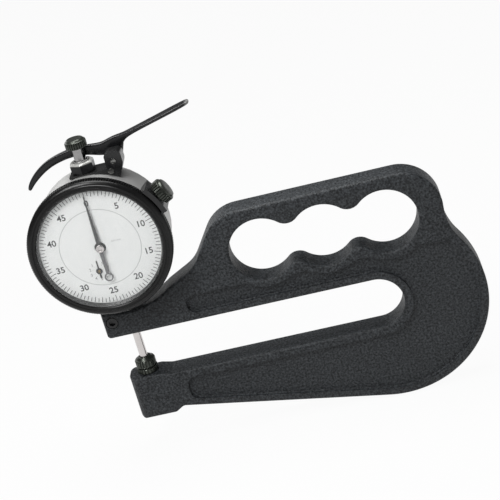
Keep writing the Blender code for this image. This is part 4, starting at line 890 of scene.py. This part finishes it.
lever = {
    "y": 0.0039, "reach": 0.0455, "base": 0.118, "depth": 0.0022, "cornerShare": 0.42,
    "pivot": (0.0130, 0.0039, 0.1136), "hubRadius": 0.0023, "hubHalf": 0.0010, "webEdge": 0.0002,
    "webCenter": (0.0130, 0.0039, 0.1155), "webSize": (0.0062, 0.0020, 0.0044),
    "webFlare": (1.5, 0.9, 1), "flareCenter": (0.0130, 0.0039, 0.1175),
    "stations": [   # along X, height and half height as shares of the reach, half depth of the depth
        (-0.536, -0.244, 0.015, 0.50), (-0.506, -0.194, 0.024, 0.50), (-0.448, -0.138, 0.030, 0.50),
        (-0.368, -0.080, 0.034, 0.50), (-0.282, -0.038, 0.035, 0.50), (-0.182, -0.010, 0.036, 0.50),
        (-0.066, 0.009, 0.039, 0.50), (0.077, 0.002, 0.045, 0.50), (0.187, -0.028, 0.060, 0.50),
        (0.275, -0.012, 0.070, 0.50), (0.352, 0.022, 0.054, 0.52), (0.400, 0.046, 0.029, 0.66),
        (0.460, 0.065, 0.022, 0.85), (0.571, 0.095, 0.018, 1.10), (0.725, 0.134, 0.017, 1.25),
        (0.879, 0.174, 0.018, 1.25), (0.990, 0.203, 0.017, 1.12), (1.026, 0.213, 0.013, 0.80)]}


def buildLever():
    clearSelection()
    bpy.ops.mesh.primitive_plane_add(size=2, rotation=(0, math.radians(90), 0))
    strip = bpy.context.object
    bpy.ops.object.transform_apply(location=True, rotation=True, scale=True)
    bpy.ops.object.mode_set(mode="EDIT")
    bpy.ops.mesh.select_all(action="SELECT")
    bpy.ops.mesh.bevel(offset=lever["cornerShare"], offset_pct=0, segments=2, affect="VERTICES")
    bpy.ops.mesh.delete(type="ONLY_FACE")
    bpy.ops.mesh.select_all(action="SELECT")
    reach = lever["reach"]
    places = [
        (x * reach, lever["base"] + z * reach, half * reach, deep * lever["depth"])
        for x, z, half, deep in lever["stations"]]
    x, z, half, deep = places[0]
    bpy.ops.transform.resize(value=(1, deep, half), center_override=(0, 0, 0))
    bpy.ops.transform.translate(value=(x, lever["y"], z))
    for nextX, nextZ, nextHalf, nextDeep in places[1:]:
        bpy.ops.mesh.extrude_edges_move(TRANSFORM_OT_translate={"value": (nextX - x, 0, nextZ - z)})
        bpy.ops.transform.resize(value=(1, nextDeep / deep, nextHalf / half),
                                 center_override=(nextX, lever["y"], nextZ))
        x, z, half, deep = nextX, nextZ, nextHalf, nextDeep
    work = bmesh.from_edit_mesh(strip.data)
    rings = [[vert for vert in work.verts if abs(vert.co.x - place[0]) < 0.000002] for place in places]
    for i, (x, z, _, _) in enumerate(places):
        before = places[max(i - 1, 0)]
        after = places[min(i + 1, len(places) - 1)]
        slope = math.atan2(after[1] - before[1], after[0] - before[0])
        tilt = Matrix.Rotation(-slope, 3, "Y")
        bmesh.ops.rotate(work, verts=rings[i], cent=(x, lever["y"], z), matrix=tilt)
    bmesh.update_edit_mesh(strip.data)
    bpy.ops.mesh.select_all(action="SELECT")
    bpy.ops.mesh.fill_holes(sides=0)
    bpy.ops.mesh.select_all(action="SELECT")
    bpy.ops.mesh.normals_make_consistent(inside=False)
    bpy.ops.object.mode_set(mode="OBJECT")
    rounding = strip.modifiers.new("round", "SUBSURF")
    rounding.levels = 2
    rounding.render_levels = 2
    bpy.ops.object.modifier_apply(modifier=rounding.name)
    bpy.ops.object.shade_smooth()
    settle(strip, "leverStrip", leverSteel, "lever_set", ["lever"])


def buildLeverHub():
    # boss round the pivot, with a web up into the strip
    hub = turnProfile([(lever["hubRadius"], -lever["hubHalf"]), (lever["hubRadius"], lever["hubHalf"])], 40)
    hub.matrix_world = turnAxis(*lever["pivot"])
    clearSelection()
    bpy.ops.mesh.primitive_cube_add(size=1, location=lever["webCenter"])
    web = bpy.context.object
    web.scale = lever["webSize"]
    bpy.ops.object.transform_apply(location=True, rotation=True, scale=True)
    bpy.ops.object.mode_set(mode="EDIT")
    bpy.ops.mesh.select_all(action="DESELECT")
    work = bmesh.from_edit_mesh(web.data)
    for face in work.faces:
        face.select = face.normal.z > 0.9
    bmesh.update_edit_mesh(web.data)
    bpy.ops.transform.resize(value=lever["webFlare"], center_override=lever["flareCenter"])
    bpy.ops.object.mode_set(mode="OBJECT")
    hub.select_set(True)
    bpy.context.view_layer.objects.active = web
    bpy.ops.object.join()
    softenEdges(web, lever["webEdge"])
    settle(web, "leverHub", blackSteel, "lever_set")


def buildLeverSteel():
    # blackened steel, with a painted highlight lightening its thumb end
    values = {"wearAndHighlightFrom": 0.0445, "wearAndHighlightTo": 0.0468, "wearAndHighlight": (0.42, 0.42, 0.41), "dark": (0.005, 0.005, 0.006),
              "metallic": 0.1, "specular": 0.42, "scale": 800.0, "smoothest": 0.18, "roughest": 0.34,
              "bump": 0.00002, "strength": 0.3}
    finish, tree, surface = newFinish("leverSteel", values["metallic"], specular=values["specular"])
    marks = addMarks(tree, values)
    # painted highlight: the thumb end turns pale in smudged patches
    highlightPatch = addNode(tree, "ShaderNodeMath", operation="MULTIPLY")
    tree.links.new(wornShare(tree, "X", values), highlightPatch.inputs[0])
    tree.links.new(marks.outputs["Smudge"], highlightPatch.inputs[1])
    mixColors(tree, highlightPatch.outputs["Value"], values["dark"], values["wearAndHighlight"], surface.inputs["Base Color"])
    spreadRoughness(tree, marks.outputs["Lines"], values["smoothest"], values["roughest"], surface)
    addBump(tree, marks.outputs["Lines"], values["bump"], values["strength"], surface)
    return finish


leverSteel = buildLeverSteel()
buildLever()
buildLeverHub()
print("lever forged")


# Hexagon nut: black with a chamfer worn silver

def buildNutSteel():
    values = {"wearAndHighlightFrom": 0.11455, "wearAndHighlightTo": 0.11485, "wearAndHighlight": (0.52, 0.52, 0.50),
              "dark": (0.005, 0.005, 0.006), "metallic": 0.4, "scale": 900.0, "smoothest": 0.22,
              "roughest": 0.38, "bump": 0.00002, "strength": 0.3}
    finish, tree, surface = newFinish("nutSteel", values["metallic"])
    marks = addMarks(tree, values)
    mixColors(tree, wornShare(tree, "Z", values), values["dark"], values["wearAndHighlight"],
              surface.inputs["Base Color"])
    spreadRoughness(tree, marks.outputs["Lines"], values["smoothest"], values["roughest"], surface)
    addBump(tree, marks.outputs["Lines"], values["bump"], values["strength"], surface)
    return finish


carry(["bushing_nut"], buildNutSteel(), 0.00014)


# Slotted screws on the back cover

coverScrew = {"headRadius": 0.0017, "shankRadius": 0.0008, "headTop": 0.0007, "length": 0.0030,
              "slotWidth": 0.0005, "slotDepth": 0.0004, "edge": 0.00006, "rimShare": 0.6,
              "topShare": 0.86, "turns": (25, 70, 110, 160)}


def buildCoverScrews():
    head = turnProfile([
        (coverScrew["shankRadius"], -coverScrew["length"]), (coverScrew["shankRadius"], 0.0),
        (coverScrew["headRadius"], 0.0),
        (coverScrew["headRadius"], coverScrew["headTop"] * coverScrew["rimShare"]),
        (coverScrew["headRadius"] * coverScrew["topShare"], coverScrew["headTop"])], 32)
    clearSelection()
    bpy.ops.mesh.primitive_cube_add(size=1, location=(0, 0, coverScrew["headTop"]))
    slot = bpy.context.object
    slot.scale = (coverScrew["headRadius"] * 3, coverScrew["slotWidth"], coverScrew["slotDepth"] * 2)
    cutAway(head, slot)
    softenEdges(head, coverScrew["edge"])
    for i, turn in enumerate(coverScrew["turns"]):
        low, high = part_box("cover_screw_" + str(i + 1))
        screw = head.copy()
        screw.data = head.data.copy()
        bpy.context.scene.collection.objects.link(screw)
        place = Matrix.Translation((
            (low.x + high.x) / 2, high.y - coverScrew["headTop"], (low.z + high.z) / 2))
        turnBack = Matrix.Rotation(math.radians(-90), 4, "X") @ Matrix.Rotation(math.radians(turn), 4, "Z")
        settle(screw, "coverScrew" + str(i + 1), brightSteel, "frame_set",
               ["cover_screw_" + str(i + 1)], place @ turnBack)
    bpy.data.objects.remove(head)


buildCoverScrews()
print("screws cut")


# Studio: floor, lights, world and camera

studio = {
    "floorColor": (0.55, 0.55, 0.55), "floorRoughness": 0.8, "floorSize": 6, "floorDrop": 0.0002,
    "floorMiddle": 0.05, "sensorWidth": 36, "clipStart": 0.01,
    "whiteShare": 0.95, "worldStrength": 0.12, "aim": (0.06, 0, 0.06),
    "lens": 95.98, "cameraPlace": (0.11142, -0.48908, 0.27256), "cameraTurn": (66.1205, 14.1713, 0.4318),
    "lights": [
        ("keyLight", (-0.12, -0.27, 0.42), 0.20, 1.75),
        ("fillLight", (0.80, -0.70, 0.10), 0.80, 0.5),
        ("topLight", (0.05, 0.03, 0.52), 0.28, 2.2),
        ("backLight", (-0.55, 0.70, 0.45), 0.50, 1.6)]}


def showWhite(tree, litShader, output):
    # seen directly or in a reflection it is white, for light it is a plain surface
    path = addNode(tree, "ShaderNodeLightPath")
    anyRay = addNode(tree, "ShaderNodeMath", operation="MAXIMUM")
    allRays = addNode(tree, "ShaderNodeMath", operation="MAXIMUM")
    share = addNode(tree, "ShaderNodeMath", operation="MULTIPLY")
    glow = addNode(tree, "ShaderNodeEmission")
    mix = addNode(tree, "ShaderNodeMixShader")
    glow.inputs["Strength"].default_value = 1.0
    share.inputs[1].default_value = studio["whiteShare"]
    link = tree.links.new
    link(path.outputs["Is Camera Ray"], anyRay.inputs[0])
    link(path.outputs["Is Glossy Ray"], anyRay.inputs[1])
    link(anyRay.outputs["Value"], allRays.inputs[0])
    link(path.outputs["Is Transmission Ray"], allRays.inputs[1])
    link(allRays.outputs["Value"], share.inputs[0])
    link(share.outputs["Value"], mix.inputs["Fac"])
    link(litShader, mix.inputs[1])
    link(glow.outputs["Emission"], mix.inputs[2])
    link(mix.outputs["Shader"], output)


def buildFloor():
    clearSelection()
    bpy.ops.mesh.primitive_plane_add(
        size=studio["floorSize"], location=(studio["floorMiddle"], 0, floorZ - studio["floorDrop"]))
    floor = bpy.context.object
    floor.name = "floor"
    finish, tree, surface = newFinish("floorPaper")
    surface.inputs["Base Color"].default_value = (*studio["floorColor"], 1)
    surface.inputs["Roughness"].default_value = studio["floorRoughness"]
    showWhite(tree, surface.outputs["BSDF"], tree.nodes["Material Output"].inputs["Surface"])
    floor.data.materials.append(finish)


def buildLights():
    middle = Vector(studio["aim"])
    for name, place, size, power in studio["lights"]:
        lamp = bpy.data.lights.new(name, "AREA")
        lamp.size = size
        lamp.energy = power
        light = bpy.data.objects.new(name, lamp)
        light.location = place
        light.rotation_euler = (middle - Vector(place)).to_track_quat("-Z", "Y").to_euler()
        bpy.context.scene.collection.objects.link(light)


def buildWorld():
    world = bpy.data.worlds.new("studioWorld")
    bpy.context.scene.world = world
    world.use_nodes = True
    tree = world.node_tree
    backdrop = tree.nodes["Background"]
    backdrop.inputs["Color"].default_value = (1, 1, 1, 1)
    backdrop.inputs["Strength"].default_value = studio["worldStrength"]
    seen = addNode(tree, "ShaderNodeBackground")
    path = addNode(tree, "ShaderNodeLightPath")
    mix = addNode(tree, "ShaderNodeMixShader")
    seen.inputs["Color"].default_value = (1, 1, 1, 1)
    tree.links.new(path.outputs["Is Camera Ray"], mix.inputs["Fac"])
    tree.links.new(backdrop.outputs["Background"], mix.inputs[1])
    tree.links.new(seen.outputs["Background"], mix.inputs[2])
    tree.links.new(mix.outputs["Shader"], tree.nodes["World Output"].inputs["Surface"])


def buildCamera():
    lens = bpy.data.cameras.new("studioCamera")
    lens.lens = studio["lens"]
    lens.sensor_width = studio["sensorWidth"]
    lens.clip_start = studio["clipStart"]
    camera = bpy.data.objects.new("studioCamera", lens)
    camera.location = studio["cameraPlace"]
    camera.rotation_euler = [math.radians(angle) for angle in studio["cameraTurn"]]
    bpy.context.scene.collection.objects.link(camera)
    bpy.context.scene.camera = camera


buildFloor()
buildLights()
buildWorld()
buildCamera()
bpy.context.scene.view_settings.view_transform = "Standard"
print("studio ready")
